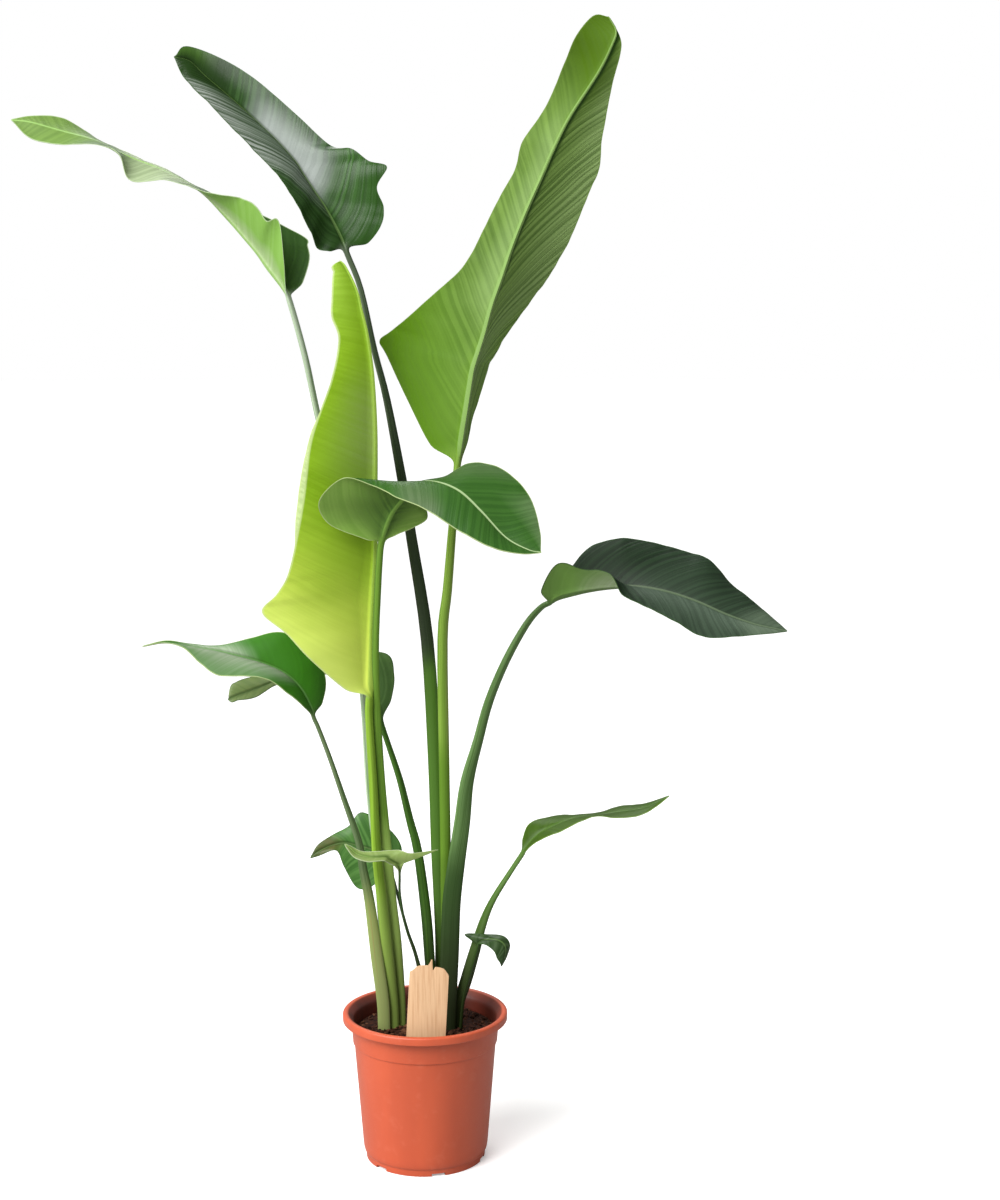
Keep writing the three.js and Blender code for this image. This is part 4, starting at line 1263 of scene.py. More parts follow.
@dataclass(frozen=True)
class PlasticFinish:
    """Moulded terracotta-coloured plastic with a satin surface, and painted shade on its inner
    wall.

    Scales are patches to the metre and edges where a pattern starts and is full. The swing is how
    much rougher the roughest spots are.
    """

    colour: Colour = (0.56, 0.092, 0.034)
    faded: Colour = (0.62, 0.15, 0.08)
    shaded: Colour = (0.5, 0.08, 0.03)
    # Painted shade inside the pot, even and blotched.
    inner: Colour = (0.17, 0.026, 0.012)
    blotched_inner_shade: Colour = (0.07, 0.015, 0.008)
    roughness: float = 0.32
    swing: float = 0.22
    flow_scale: float = 26.0
    flow_stretch: Point = (1.0, 1.0, 0.25)
    flow_edges: Pair = (0.3, 0.7)
    scuff_scale: float = 90.0
    scuff_edges: Pair = (0.52, 0.75)
    scuff_cover: float = 0.25
    scuff_share: float = 0.3
    grain_scale: float = 2600.0
    grain_depth: float = 0.00008

    def material(self, name: str) -> bpy.types.Material:
        """The pot's material: faint flow marks, a fine moulded grain, dull scuffs and painted shade
        on the inner wall.

        Args:
            name: The material's name.

        Returns:
            The material.
        """
        brush = Brush(name)
        place = brush.place()
        flow = brush.cloud(brush.stretched(self.flow_stretch), self.flow_scale)
        flow = brush.band(flow, *self.flow_edges)
        scuffs = brush.cloud(place, self.scuff_scale, detail=6.0)
        grain = brush.cloud(place, self.grain_scale, detail=2.0)
        colour = brush.blend(flow, self.shaded, self.colour)
        worn = brush.band(scuffs, *self.scuff_edges)
        colour = brush.over(colour, self.faded, worn, self.scuff_cover)
        # Painted shade on the inner wall, deeper where the flow marks blotch it.
        inside = brush.mark("inside")
        colour = brush.over(colour, self.inner, inside)
        colour = brush.over(colour, self.blotched_inner_shade, inside, flow)
        rough = brush.math("MULTIPLY_ADD", scuffs, self.swing, self.roughness)
        relief = brush.relief(brush.between(self.scuff_share, grain, scuffs), self.grain_depth)
        feeds = {"Base Color": colour, "Roughness": rough, "Normal": relief}
        return brush.done(brush.coat(feeds))


@dataclass
class Pot:
    """The nursery pot: a tapered wall, a shallow band under a rolled lip and a notched foot ring.

    Lengths are in millimetres, the notches' turn is in radians and the crease in degrees.
    """

    height: float = 153.0
    rim_radius: float = 84.0
    lip_height: float = 8.5
    wall_top_radius: float = 74.2
    wall_base_radius: float = 63.2
    wall_thickness: float = 1.8
    band_height: float = 122.0
    band_step: float = 1.3
    foot_height: float = 7.0
    foot_radius: float = 61.2
    foot_width: float = 6.0
    floor_top: float = 6.4
    pad_radius: float = 22.0
    channel_depth: float = 4.0
    sides: int = 144
    drains: int = 6
    drain_radius: float = 4.5
    drain_circle: float = 38.0
    notch_width: float = 14.0
    notch_depth: float = 3.0
    notch_turn: float = math.pi / 6 + 0.25
    notch_spare: float = 6.0
    drain_sides: int = 28
    drain_depth: float = 20.0
    lip_width: float = 4.8
    wall_reach: float = 0.6
    # Where the painted shade inside the pot fades out, under the rim's top.
    inner_shade_top: float = 0.4
    inner_shade_fade: float = 1.5
    crease: float = 32.0

    def wall(self, z: float) -> float:
        """The wall's outer radius at a height."""
        share = (z - self.foot_height) / (self.height - self.lip_height - self.foot_height)
        return self.wall_base_radius + (self.wall_top_radius - self.wall_base_radius) * share

    def inside(self, z: float) -> float:
        """The wall's inner radius at a height."""
        return self.wall(z) - self.wall_thickness

    def corners(self) -> list[Point]:
        """The section's corners from the base pad round to the inner floor, each with its rounding.

        Returns:
            Radius, height and rounding of each corner, in millimetres.
        """
        foot, rim, top = self.foot_radius, self.rim_radius, self.height
        lip = top - self.lip_height
        inner_foot = foot - self.foot_width
        return [
            (self.pad_radius, 0.0, 0.5),
            (self.pad_radius + 2, self.channel_depth, 0.8),
            (inner_foot - 1, self.channel_depth, 0.8),
            (inner_foot, 0.0, 0.5),
            (foot - 0.4, 0.0, 0.7),
            (foot, self.foot_height - 0.6, 0.4),
            (self.wall(9) - 0.6, 8.6, 1.2),
            (self.wall(13), 13.0, 3.0),
            (self.wall(self.band_height - 0.8), self.band_height - 0.8, 0.5),
            (self.wall(self.band_height) + self.band_step, self.band_height, 0.4),
            (self.wall(lip + 1) + self.band_step, lip + 1, 1.2),
            (rim - 4.4, top - 3.2, 1.0),
            (rim - 1.9, top - 3.6, 0.4),
            (rim - 1.7, lip, 0.5),
            (rim - 0.1, lip, 0.7),
            (rim, top - 1.0, 1.6),
            (rim - 3.2, top, 2.0),
            (rim - 5.6, top - 0.7, 1.6),
            (self.inside(lip) + 0.6, lip + 1.6, 2.0),
            (self.inside(lip - 2), lip - 2, 1.5),
            (self.inside(self.floor_top + 1), self.floor_top + 0.4, 2.5),
            (self.inside(self.floor_top) - 8, self.floor_top, 1.0),
        ]

    def section(self) -> list[Pair]:
        """The section with its corners rounded.

        Returns:
            Radius and height of each point, in millimetres.
        """
        corners = self.corners()
        points = [corners[0][:2]]
        for before, corner, after in zip(corners, corners[1:], corners[2:]):
            middle = Vector(corner[:2])
            back, on = Vector(before[:2]) - middle, Vector(after[:2]) - middle
            reach = min(corner[2], back.length * ROUNDED_SHARE, on.length * ROUNDED_SHARE)
            start, finish = middle + back.normalized() * reach, middle + on.normalized() * reach
            for step in range(5):
                low, high = start.lerp(middle, step / 4), middle.lerp(finish, step / 4)
                points.append(tuple(low.lerp(high, step / 4)))
        points.append(corners[-1][:2])
        return points

    def spot(self, radius: float, angle: float) -> Vector:
        """A place on the ground, in metres."""
        return radius * MM * Vector((math.cos(angle), math.sin(angle), 0.0))

    def cutter(self) -> bpy.types.Object:
        """The drains and the foot's notches, as one shape to cut away.

        Returns:
            The cutting shape.
        """
        middle = self.foot_radius - self.foot_width / 2
        notch = (self.foot_width + self.notch_spare, self.notch_width, 2 * self.notch_depth)
        cylinder, cube = bpy.ops.mesh.primitive_cylinder_add, bpy.ops.mesh.primitive_cube_add
        drill = {"radius": self.drain_radius * MM, "depth": self.drain_depth * MM}
        parts = []
        for i in range(self.drains):
            angle = i * 2 * math.pi / self.drains
            place = self.spot(self.drain_circle, angle)
            parts.append(
                added("drain", cylinder, vertices=self.drain_sides, location=place, **drill)
            )
            angle += self.notch_turn
            place = self.spot(middle, angle)
            parts.append(added("notch", cube, size=1, location=place, rotation=(0.0, 0.0, angle)))
            parts[-1].scale = [size * MM for size in notch]
        join(parts[0], parts)
        settle(parts[0])
        return parts[0]

    def mark_inner_shade(self, piece: bpy.types.Object) -> None:
        """Marks the inner wall, which gets painted shade up to just under the rim's top.

        Args:
            piece: The pot.
        """
        shares = []
        for vertex in piece.data.vertices:
            z, radius = vertex.co.z / MM, vertex.co.xy.length / MM
            in_lip = z > self.height - self.lip_height and radius < self.rim_radius - self.lip_width
            on_wall = z > self.floor_top + 1 and radius < self.inside(z) + self.wall_reach
            share = (self.height - self.inner_shade_top - z) / self.inner_shade_fade
            shares.append(min(1.0, max(0.0, share)) if in_lip or on_wall else 0.0)
        piece.data.attributes.new("inside", "FLOAT", "POINT").data.foreach_set("value", shares)

    def build(self) -> bpy.types.Object:
        """Turns the section, then cuts drains and notches.

        Returns:
            The finished pot.
        """
        piece = turned("pot_moulded", self.section(), self.sides)
        knife = self.cutter()
        take(piece)
        modify(piece, "BOOLEAN", operation="DIFFERENCE", solver="EXACT", object=knife)
        bpy.data.objects.remove(knife)
        smooth(self.crease)
        self.mark_inner_shade(piece)
        place_on_plant(piece, "pot", PlasticFinish().material("terracotta_plastic"))
        return piece


@dataclass(frozen=True)
class SoilFinish:
    """Moist, coarse potting mix: dark peat and bark, the less of which the higher its power."""

    peat: Colour = (0.012, 0.0045, 0.003)
    crumb: Colour = (0.055, 0.018, 0.009)
    bark: Colour = (0.13, 0.055, 0.027)
    roughness: float = 0.75
    swing: float = 0.25
    shine: float = 0.12
    crumb_edges: Pair = (0.35, 0.68)
    bark_power: float = 3.0
    lump_scale: float = 320.0
    lump_depth: float = 0.0012

    def material(self, name: str) -> bpy.types.Material:
        """The soil's material. The mark shade tells one crumb from the next.

        Args:
            name: The material's name.

        Returns:
            The material.
        """
        brush = Brush(name)
        lumps = brush.cloud(brush.place(), self.lump_scale, detail=5.0)
        colour = brush.blend(brush.band(lumps, *self.crumb_edges), self.peat, self.crumb)
        pale = brush.math("POWER", brush.mark("shade"), self.bark_power)
        colour = brush.over(colour, self.bark, pale)
        rough = brush.math("MULTIPLY_ADD", lumps, self.swing, self.roughness)
        relief = brush.relief(lumps, self.lump_depth)
        feeds = {"Base Color": colour, "Roughness": rough, "Normal": relief}
        return brush.done(brush.coat({**feeds, "Specular IOR Level": self.shine}))


@dataclass
class Soil:
    """The potting mix: a lumpy top that closes round the stalks, strewn with crumbs and bark.

    Lengths are in millimetres, the crease in degrees and the chips' tilt in radians. Each of the
    swells of the top has its size and its height. A chip's shape and roughness are shares of its
    size.
    """

    pot: Pot
    top: float = 135.2
    gap: float = 0.4
    crumbs: int = 900
    seed: int = 11
    sides: int = 120
    top_rings: int = 26
    swells: tuple[Pair, ...] = ((22.0, 4.0), (6.0, 2.6))
    chip_shape: Point = (1.0, 0.62, 0.42)
    chip_sizes: tuple[float, ...] = (2.0, 2.8, 3.6, 5.0, 7.5)
    chip_growth: Pair = (0.8, 1.2)
    chip_rise: Pair = (-0.4, 0.9)
    chip_tilt: float = 0.7
    chip_roughness: float = 0.12
    bare_edge: float = 4.0
    crease: float = 38.0

    def bed(self) -> bpy.types.Object:
        """The filled body of soil with its lumpy top.

        Returns:
            The body, its top displaced.
        """
        pot, gap = self.pot, self.gap
        edge = pot.inside(self.top - 3) - gap
        section = [
            (pot.inside(pot.floor_top) - 2 - gap, pot.floor_top + gap),
            (pot.inside(pot.floor_top + 3) - gap, pot.floor_top + 3 + gap),
            (edge, self.top - 2.5),
            (edge - 1.5, self.top - 1.2),
            (edge - 5, self.top),
        ]
        section += [(edge * share, self.top) for share in np.linspace(0.9, 0.03, self.top_rings)]
        piece = turned("soil_mix", section, self.sides)
        crust = piece.vertex_groups.new(name="crust")
        surface = [v.index for v in piece.data.vertices if v.co.z > (self.top - 0.5) * MM]
        crust.add(surface, 1.0, "REPLACE")
        for size, height in self.swells:
            lumps = bpy.data.textures.new("lumps", "CLOUDS")
            lumps.noise_scale = size * MM
            push = {"texture": lumps, "strength": height * MM, "mid_level": 0.5}
            modify(piece, "DISPLACE", direction="Z", vertex_group=crust.name, **push)
        piece.data.attributes.new("shade", "FLOAT", "POINT")
        return piece

    def crumb(self) -> bpy.types.Object:
        """One chip of bark, with few faces.

        Returns:
            The chip, one unit long.
        """
        chip = added("chip", bpy.ops.mesh.primitive_ico_sphere_add, subdivisions=1, radius=0.5)
        edit()
        bpy.ops.transform.resize(value=self.chip_shape)
        bpy.ops.transform.vertex_random(offset=self.chip_roughness, seed=3)
        bpy.ops.object.mode_set(mode="OBJECT")
        return chip

    def build(self) -> bpy.types.Object:
        """Makes the bed, strews it with copies of one crumb and joins them to it.

        Returns:
            The finished soil.
        """
        piece, model = self.bed(), self.crumb()
        draw = random.Random(self.seed)
        reach = self.pot.inside(self.top) - self.bare_edge
        copies = []
        for _ in range(self.crumbs):
            radius, angle = reach * math.sqrt(draw.random()), draw.uniform(0, 2 * math.pi)
            size = draw.choice(self.chip_sizes) * draw.uniform(*self.chip_growth)
            chip = model.copy()
            chip.data = model.data.copy()
            chip.location = (
                radius * math.cos(angle) * MM,
                radius * math.sin(angle) * MM,
                (self.top + draw.uniform(*self.chip_rise)) * MM,
            )
            lean = [draw.uniform(-self.chip_tilt, self.chip_tilt) for _ in range(2)]
            chip.rotation_euler = Euler([*lean, angle * 7])
            chip.scale = (size * MM,) * 3
            tint = chip.data.attributes.new("shade", "FLOAT", "POINT")
            tint.data.foreach_set("value", [draw.random()] * len(chip.data.vertices))
            bpy.context.scene.collection.objects.link(chip)
            copies.append(chip)
        bpy.data.objects.remove(model)
        join(piece, copies)
        smooth(self.crease)
        place_on_plant(piece, "soil", SoilFinish().material("potting_mix"))
        return piece


@dataclass(frozen=True)
class WoodFinish:
    """Bare pale wood with a fine straight grain. The damp span is in metres up the pot."""

    pale: Colour = (0.63, 0.4, 0.225)
    grain: Colour = (0.52, 0.3, 0.155)
    damp: Colour = (0.3, 0.14, 0.06)
    roughness: float = 0.52
    swing: float = 0.2
    grain_scale: Point = (900.0, 900.0, 26.0)
    grain_edges: Pair = (0.42, 0.72)
    band_scale: Point = (120.0, 60.0, 9.0)
    band_edges: Pair = (0.5, 0.8)
    band_cover: float = 0.5
    damp_span: Pair = (0.146, 0.132)
    damp_cover: float = 0.6
    grain_depth: float = 0.00015

    def material(self, name: str) -> bpy.types.Material:
        """The label's material: grain lengthwise, and darker where it stands in the damp soil.

        Args:
            name: The material's name.

        Returns:
            The material.
        """
        brush = Brush(name)
        streaks = brush.cloud(brush.stretched(self.grain_scale), 1.0, detail=4.0)
        broad = brush.cloud(brush.stretched(self.band_scale), 1.0)
        colour = brush.blend(brush.band(streaks, *self.grain_edges), self.pale, self.grain)
        banded = brush.band(broad, *self.band_edges)
        colour = brush.over(colour, self.grain, banded, self.band_cover)
        low = brush.band(brush.part(brush.place(), 2), *self.damp_span)
        colour = brush.over(colour, self.damp, low, self.damp_cover)
        rough = brush.math("MULTIPLY_ADD", streaks, self.swing, self.roughness)
        relief = brush.relief(streaks, self.grain_depth)
        feeds = {"Base Color": colour, "Roughness": rough, "Normal": relief}
        return brush.done(brush.coat(feeds))


@dataclass
class Label:
    """The blank wooden label: straight sides, two rounded lobes and a thin tongue between them.

    Lengths are in millimetres, the tilt in radians. Corners sharper than the crease are broken,
    and edges sharper than the shading angle stay crisp, both in degrees.
    """

    width: float = 39.0
    thickness: float = 1.6
    front: float = -64.0
    centre: float = 0.5
    foot: float = 100.0
    top: float = 218.5
    tilt: float = 0.055
    edge: float = 0.25
    crease: float = 50.0
    shading: float = 35.0

    def outline(self) -> list[Pair]:
        """The label's corners, from its foot round by the right.

        Returns:
            Across and up of each corner, in millimetres.
        """
        half, top = self.width / 2, self.top
        return [
            (-half, self.foot),
            (half, self.foot),
            (half, top - 8),
            (half - 0.9, top - 5.6),
            (half - 2.4, top - 3.8),
            (half - 4, top - 1.6),
            (half - 6, top - 0.2),
            (half - 10, top + 0.7),
            (half - 14, top + 0.8),
            (4.4, top - 1.6),
            (3.5, top - 2.8),
            (2.9, top + 3),
            (2.5, top + 8),
            (1.4, top + 8.3),
            (0.2, top + 5),
            (-1.5, top + 2.1),
            (-5, top + 2),
            (-8, top + 1.9),
            (-half + 8, top + 0.9),
            (-half + 6, top - 0.2),
            (-half + 4.6, top - 2),
            (-half + 2.4, top - 3.9),
            (-half, top - 5.2),
        ]

    def build(self) -> bpy.types.Object:
        """Puts a disc's points on the outline one by one, thickens it and breaks its edges.

        Returns:
            The finished label.
        """
        outline = self.outline()
        disc = {"vertices": len(outline), "radius": self.width * MM, "fill_type": "NGON"}
        piece = added("plant_label_wood", bpy.ops.mesh.primitive_circle_add, **disc)
        for vertex, (x, z) in zip(piece.data.vertices, outline):
            vertex.co = (x * MM, -self.thickness / 2 * MM, (z - self.foot) * MM)
        edit()
        back = (0.0, self.thickness * MM, 0.0)
        bpy.ops.mesh.extrude_region_move(TRANSFORM_OT_translate={"value": back})
        bpy.ops.mesh.select_all(action="SELECT")
        bpy.ops.mesh.normals_make_consistent(inside=False)
        bpy.ops.object.mode_set(mode="OBJECT")
        piece.rotation_euler = (0.0, self.tilt, 0.0)
        piece.location = (self.centre * MM, self.front * MM, self.foot * MM)
        settle(piece)
        bevel = {"width": self.edge * MM, "segments": 3, "limit_method": "ANGLE"}
        modify(piece, "BEVEL", angle_limit=math.radians(self.crease), **bevel)
        smooth(self.shading)
        place_on_plant(piece, "plant_label", WoodFinish().material("pale_wood"))
        return piece


@dataclass
class Studio:
    """A plain pale floor, soft light from the upper left and the photograph's viewpoint.

    Lengths are in metres, but lens and sensor in millimetres. The pitch is in degrees and the
    sun's spread in radians. Each softbox has its place and its power.
    """

    floor_radius: float = 30.0
    floor_sides: int = 96
    floor_colour: Colour = (0.92, 0.92, 0.91)
    floor_patches: float = 1.5
    floor_shade: float = 0.985
    floor_roughness: float = 0.9
    floor_glow: float = 0.3
    floor_bounce: Colour = (0.45, 0.45, 0.44)
    sky: float = 0.3
    sun: float = 3.6
    sun_from: Point = (-1.2, -1.0, 1.0)
    sun_spread: float = 0.8
    softboxes: Rows = ((-0.8, -1.5, 2.3, 38.0), (-0.3, 1.3, 2.3, 24.0))
    softbox_size: float = 1.5
    aim: Point = (0.0, 0.0, 0.7)
    eye: Point = (0.0765, -2.0, 0.846)
    pitch: float = 82.3
    lens: float = 60.9
    sensor: float = 36.0

    def floor(self) -> None:
        """Lays the floor, which looks nearly white but throws less light back at the plant."""
        disc = {"vertices": self.floor_sides, "radius": self.floor_radius, "fill_type": "NGON"}
        ground = added("studio_floor", bpy.ops.mesh.primitive_circle_add, **disc)
        brush = Brush("pale_floor")
        patch = brush.cloud(brush.place(), self.floor_patches)
        shaded = tuple(value * self.floor_shade for value in self.floor_colour)
        colour = brush.blend(patch, shaded, self.floor_colour)
        glow = {"Emission Color": (1.0, 1.0, 1.0), "Emission Strength": self.floor_glow}
        seen = brush.coat({"Base Color": colour, "Roughness": self.floor_roughness, **glow})
        shed = brush.node("ShaderNodeBsdfDiffuse", {"Color": self.floor_bounce}).outputs[0]
        path = brush.node("ShaderNodeLightPath", {}).outputs["Is Camera Ray"]
        mixed = brush.node("ShaderNodeMixShader", {0: path, 1: shed, 2: seen}).outputs[0]
        ground.data.materials.append(brush.done(mixed))

    def light(self) -> None:
        """Sets a white surround, a broad soft key and two high softboxes, in front and behind."""
        world = bpy.data.worlds.new("studio")
        bpy.context.scene.world = world
        world.use_nodes = True
        nodes, links = world.node_tree.nodes, world.node_tree.links
        nodes.clear()
        seen, shed = nodes.new("ShaderNodeBackground"), nodes.new("ShaderNodeBackground")
        seen.inputs[1].default_value, shed.inputs[1].default_value = 1.0, self.sky
        seen.inputs[0].default_value = shed.inputs[0].default_value = (1.0, 1.0, 1.0, 1.0)
        path, mix = nodes.new("ShaderNodeLightPath"), nodes.new("ShaderNodeMixShader")
        links.new(path.outputs["Is Camera Ray"], mix.inputs[0])
        links.new(shed.outputs[0], mix.inputs[1])
        links.new(seen.outputs[0], mix.inputs[2])
        links.new(mix.outputs[0], nodes.new("ShaderNodeOutputWorld").inputs[0])

        key = added("Sun", bpy.ops.object.light_add, type="SUN")
        key.data.energy, key.data.angle = self.sun, self.sun_spread
        key.rotation_euler = Vector(self.sun_from).to_track_quat("Z", "Y").to_euler()
        for *place, power in self.softboxes:
            box = added("Area", bpy.ops.object.light_add, type="AREA", location=place)
            box.data.energy, box.data.shape, box.data.size = power, "SQUARE", self.softbox_size
            away = box.location - Vector(self.aim)
            box.rotation_euler = away.to_track_quat("Z", "Y").to_euler()

    def camera(self) -> None:
        """Stands the camera where the photograph was taken from."""
        view = bpy.data.cameras.new("viewpoint")
        view.lens, view.sensor_width = self.lens, self.sensor
        holder = bpy.data.objects.new("viewpoint", view)
        bpy.context.scene.collection.objects.link(holder)
        holder.location = self.eye
        holder.rotation_euler = (math.radians(self.pitch), 0.0, 0.0)
        bpy.context.scene.camera = holder

    def build(self) -> None:
        """Sets up floor, light and camera."""
        self.floor()
        self.light()
        self.camera()
        bpy.context.scene.view_settings.view_transform = "Standard"


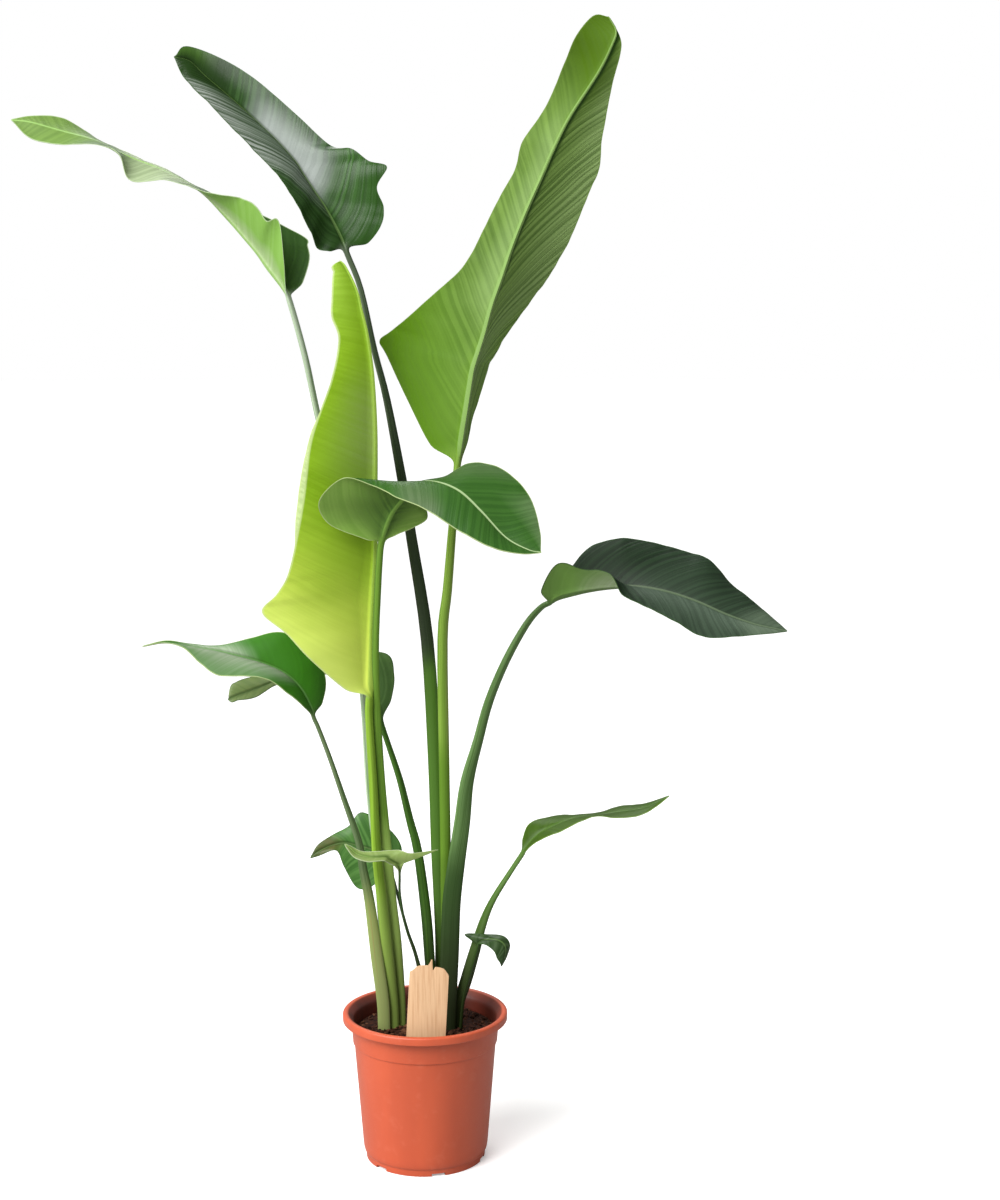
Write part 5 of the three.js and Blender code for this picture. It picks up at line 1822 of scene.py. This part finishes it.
# The pale and dark patches on these blades are mostly painted light: sheen where the lights would
# glint, brightening where they would fall, and shade where a blade turns from them. A few are the
# leaves' own tints at base and tip. The crease colour is painted shadow beside the midrib.
FINISHES = {
    "leaf_top_right": replace(
        MID_LEAF,
        under=(0.24, 0.4, 0.08),
        under_deep=(0.06, 0.13, 0.014),
        midrib=(0.26, 0.4, 0.13),
        keel=(0.2, 0.33, 0.09),
        crease=(0.015, 0.06, 0.004),
        rib_shadow_sides=(0.95, 0.0),
        rib_shadow_width=0.003,
        slope=(1.9, 1.0),
        vein_gap=0.0075,
        under_veins=(1.0, 0.35),
        stalk=(0.2, 0.33, 0.045),
        stalk_deep=(0.12, 0.22, 0.022),
        lower=((0.475, (0.085, 0.18, 0.012)),),
        left_edge_tint_and_highlight=(0.26, 0.34, 0.08),
        light_through=0.26,
        sheens_shades_tints=(
            SheenShadeTint((0.26, 0.43, 0.1), under=(0.6, 0.0), ribbed=0.65),
            SheenShadeTint((0.38, 0.5, 0.25), start=0.1, under=(0.5, 0.0), inner=0.0, ribbed=0.6),
            SheenShadeTint(
                (0.105, 0.245, 0.003), end=0.42, under=(0.2, 1.0), inner=0.6, soft=0.3, ribbed=0.15
            ),
            SheenShadeTint((0.29, 0.43, 0.16), start=0.3, end=0.9, under=(0.0, 0.5), outer=-0.3),
            SheenShadeTint((0.08, 0.17, 0.003), start=0.76, under=(0.7, 0.95)),
        ),
    ),
    "leaf_front_left": replace(
        YOUNG_LEAF,
        slope=(0.4, 0.4),
        curve=(0.8, 0.8),
        margin_width=0.0014,
        lower=((0.34, (0.22, 0.35, 0.055)),),
        left_edge_tint_and_highlight=(0.3, 0.36, 0.09),
        light_through=0.4,
        sheens_shades_tints=(
            SheenShadeTint((0.88, 1.0, 0.15), end=0.48, under=(1.0, 1.0), soft=0.45, ribbed=0.1),
            SheenShadeTint((0.86, 1.0, 0.23), end=0.3, under=(0.8, 0.8), inner=0.2, soft=0.25, ribbed=0.1),
            SheenShadeTint((0.18, 0.35, 0.015), under=(0.25, 0.25), outer=0.0),
            SheenShadeTint((0.32, 0.44, 0.13), start=0.42, end=0.86, under=(0.0, 0.7), outer=0.0, soft=0.2),
            SheenShadeTint((0.55, 0.85, 0.12), start=0.82, under=(0.5, 0.5), inner=0.2, soft=0.2),
            SheenShadeTint((0.8, 0.9, 0.5), upper=(1.0, 0.0), inner=0.0),
        ),
    ),
    "leaf_top_left": replace(
        DARK_LEAF,
        slope=(1.7, 0.25),
        curve=(2.0, 9.0),
        upper_veins=(0.95, 0.8),
        vein_gap=0.0062,
        # The stalk's grey colour and its pale left edge are painted sheen; it is darker below 0.78
        # m and green below 0.57 m.
        stalk=(0.08, 0.11, 0.065),
        stalk_deep=(0.03, 0.05, 0.022),
        left_edge_tint_and_highlight=(0.16, 0.19, 0.14),
        lower=((0.78, (0.02, 0.032, 0.013)), (0.57, (0.07, 0.165, 0.018))),
        sheens_shades_tints=(
            SheenShadeTint((0.3, 0.32, 0.3), start=0.14, end=0.86, upper=(0.75, 0.0), inner=0.3, ribbed=0.85),
            SheenShadeTint((0.3, 0.33, 0.31), start=0.22, end=0.74, upper=(0.0, 1.0), outer=0.05, ribbed=0.1),
            SheenShadeTint((0.035, 0.12, 0.012), end=0.34, upper=(0.0, 0.8), inner=0.2, soft=0.2, ribbed=0.6),
            SheenShadeTint(
                (0.008, 0.028, 0.003), end=0.22, upper=(1.0, 0.95), outer=0.6, soft=0.2, ribbed=0.5
            ),
            SheenShadeTint((0.009, 0.028, 0.003), start=0.76, upper=(0.95, 0.95), soft=0.08, ribbed=0.1),
            SheenShadeTint((0.07, 0.16, 0.02), start=0.86, upper=(0.0, 0.5), inner=0.0),
        ),
    ),
    "leaf_far_left": replace(
        YOUNG_LEAF,
        upper=(0.055, 0.13, 0.03),
        upper_deep=(0.02, 0.06, 0.01),
        under=(0.31, 0.56, 0.13),
        under_deep=(0.23, 0.46, 0.07),
        midrib=(0.27, 0.45, 0.13),
        keel=(0.27, 0.45, 0.13),
        margin=(0.6, 0.72, 0.45),
        rib_shadow_sides=(0.0, 0.0),
        stalk=(0.52, 0.6, 0.46),
        stalk_deep=(0.16, 0.26, 0.12),
        foot=MID_LEAF.foot,
        sheens_shades_tints=(
            SheenShadeTint((0.6, 0.68, 0.45), under=(0.6, 0.0), end=0.74, outer=-1.4),
            SheenShadeTint((0.5, 0.6, 0.36), start=0.42, end=0.78, upper=(0.8, 0.8), under=(0.8, 0.8)),
            SheenShadeTint((0.21, 0.35, 0.08), start=0.74, upper=(1.0, 1.0), under=(1.0, 1.0)),
        ),
    ),
    "leaf_arching_centre": replace(
        MID_LEAF,
        upper=(0.045, 0.135, 0.02),
        upper_deep=(0.026, 0.09, 0.012),
        under=(0.27, 0.45, 0.09),
        under_deep=(0.17, 0.32, 0.05),
        midrib=PALE_MIDRIB,
        keel=(0.16, 0.3, 0.05),
        margin=(0.5, 0.6, 0.28),
        stalk=(0.16, 0.32, 0.034),
        stalk_deep=(0.09, 0.19, 0.018),
        # The stalk is lighter below 0.4 m, painted light where the stalk in front shades it; its
        # right edge has painted shade where the two meet.
        lower=((0.4, (0.32, 0.48, 0.11)),),
        right_edge_shade=(0.07, 0.13, 0.02),
        foot=(0.15, 0.21, 0.045),
        under_veins=(0.5, 0.5),
        upper_veins=(0.65, 0.65),
        sheens_shades_tints=(
            SheenShadeTint((0.04, 0.1, 0.015), under=(0.95, 0.95), outer=0.0),
            SheenShadeTint((0.16, 0.26, 0.11), start=0.6, upper=(0.7, 0.0), inner=-0.6),
            SheenShadeTint((0.12, 0.17, 0.085), start=0.25, end=0.6, upper=(0.5, 0.8), inner=0.2),
        ),
    ),
    "leaf_right": replace(
        DARK_LEAF,
        upper=(0.011, 0.031, 0.01),
        upper_deep=(0.002, 0.009, 0.002),
        midrib=(0.09, 0.13, 0.07),
        under=(0.2, 0.37, 0.08),
        under_deep=(0.15, 0.29, 0.055),
        under_veins=(0.25, 0.25),
        gloss=0.5,
        stalk=(0.12, 0.215, 0.07),
        stalk_deep=(0.06, 0.125, 0.028),
        lower=((0.37, (0.022, 0.055, 0.01)),),
        sheens_shades_tints=(
            SheenShadeTint((0.075, 0.11, 0.075), start=0.3, upper=(0.25, 1.0), outer=0.4),
            SheenShadeTint((0.1, 0.14, 0.09), start=0.8, upper=(0.6, 0.9)),
            SheenShadeTint((0.42, 0.5, 0.32), start=0.14, end=0.7, under=(0.0, 0.9), outer=0.5, soft=0.2),
        ),
    ),
    "leaf_lower_left": replace(
        MID_LEAF,
        upper=(0.042, 0.19, 0.01),
        upper_deep=(0.03, 0.14, 0.007),
        midrib=(0.09, 0.22, 0.05),
        gloss=0.5,
        margin=(0.5, 0.6, 0.28),
        upper_veins=(0.2, 0.2),
        stalk=(0.13, 0.18, 0.085),
        stalk_deep=(0.045, 0.085, 0.025),
        lower=((0.33, (0.28, 0.36, 0.1)),),
        foot=(0.22, 0.26, 0.09),
        dry=0.7,
        sheens_shades_tints=(
            SheenShadeTint((0.33, 0.38, 0.28), start=0.2, upper=(0.85, 0.0), outer=0.35),
            SheenShadeTint((0.5, 0.58, 0.44), start=0.46, end=0.95, upper=(0.0, 0.85), outer=0.2, soft=0.18),
            SheenShadeTint((0.05, 0.15, 0.022), end=0.2, upper=(0.6, 0.6)),
        ),
    ),
    "leaf_behind_left": replace(
        DARK_LEAF,
        upper=(0.14, 0.25, 0.08),
        upper_deep=(0.07, 0.15, 0.04),
        under=(0.16, 0.27, 0.08),
        under_deep=(0.09, 0.18, 0.04),
        sheens_shades_tints=(SheenShadeTint((0.2, 0.27, 0.09), start=0.6, upper=(0.9, 0.9), under=(0.9, 0.9)),),
    ),
    "leaf_low_dark": replace(
        DARK_LEAF,
        upper=(0.1, 0.23, 0.055),
        upper_deep=(0.035, 0.11, 0.02),
        stalk=(0.02, 0.04, 0.014),
        stalk_deep=(0.015, 0.03, 0.01),
        sheens_shades_tints=(SheenShadeTint((0.085, 0.085, 0.022), start=0.62, upper=(0.9, 0.9), under=(0.9, 0.9)),),
    ),
    "leaf_low_pale": replace(
        MID_LEAF,
        upper=(0.3, 0.4, 0.13),
        upper_deep=(0.2, 0.3, 0.07),
        margin=(0.5, 0.56, 0.36),
        stalk=(0.04, 0.09, 0.02),
        stalk_deep=(0.015, 0.04, 0.008),
    ),
    "leaf_low_right": replace(
        MID_LEAF,
        upper=(0.055, 0.115, 0.009),
        upper_deep=(0.034, 0.077, 0.006),
        under=(0.055, 0.115, 0.009),
        under_deep=(0.034, 0.077, 0.006),
        midrib=(0.055, 0.115, 0.014),
        stalk=(0.09, 0.165, 0.04),
    ),
    "leaf_low_folded": replace(DARK_LEAF, upper=(0.06, 0.1, 0.04), under=(0.08, 0.13, 0.05)),
}
ROUND_TIPS = ("leaf_front_left", "leaf_behind_left")


def main() -> None:
    """Builds the plant piece by piece, then the studio round it."""
    logging.basicConfig(level=logging.INFO, format="%(name)s: %(message)s")
    pot = Pot()
    pieces = [pot.build(), Soil(pot).build(), Label().build()]
    for shape in LEAF_SHAPES:
        leaf = Leaf(shape, FINISHES[shape.node], round_tip=shape.node in ROUND_TIPS)
        pieces.append(leaf.build())
    Studio().build()
    total = sum(len(polygon.vertices) - 2 for piece in pieces for polygon in piece.data.polygons)
    log.info("%d pieces, %d triangles", len(pieces), total)


if __name__ == "__main__":
    main()
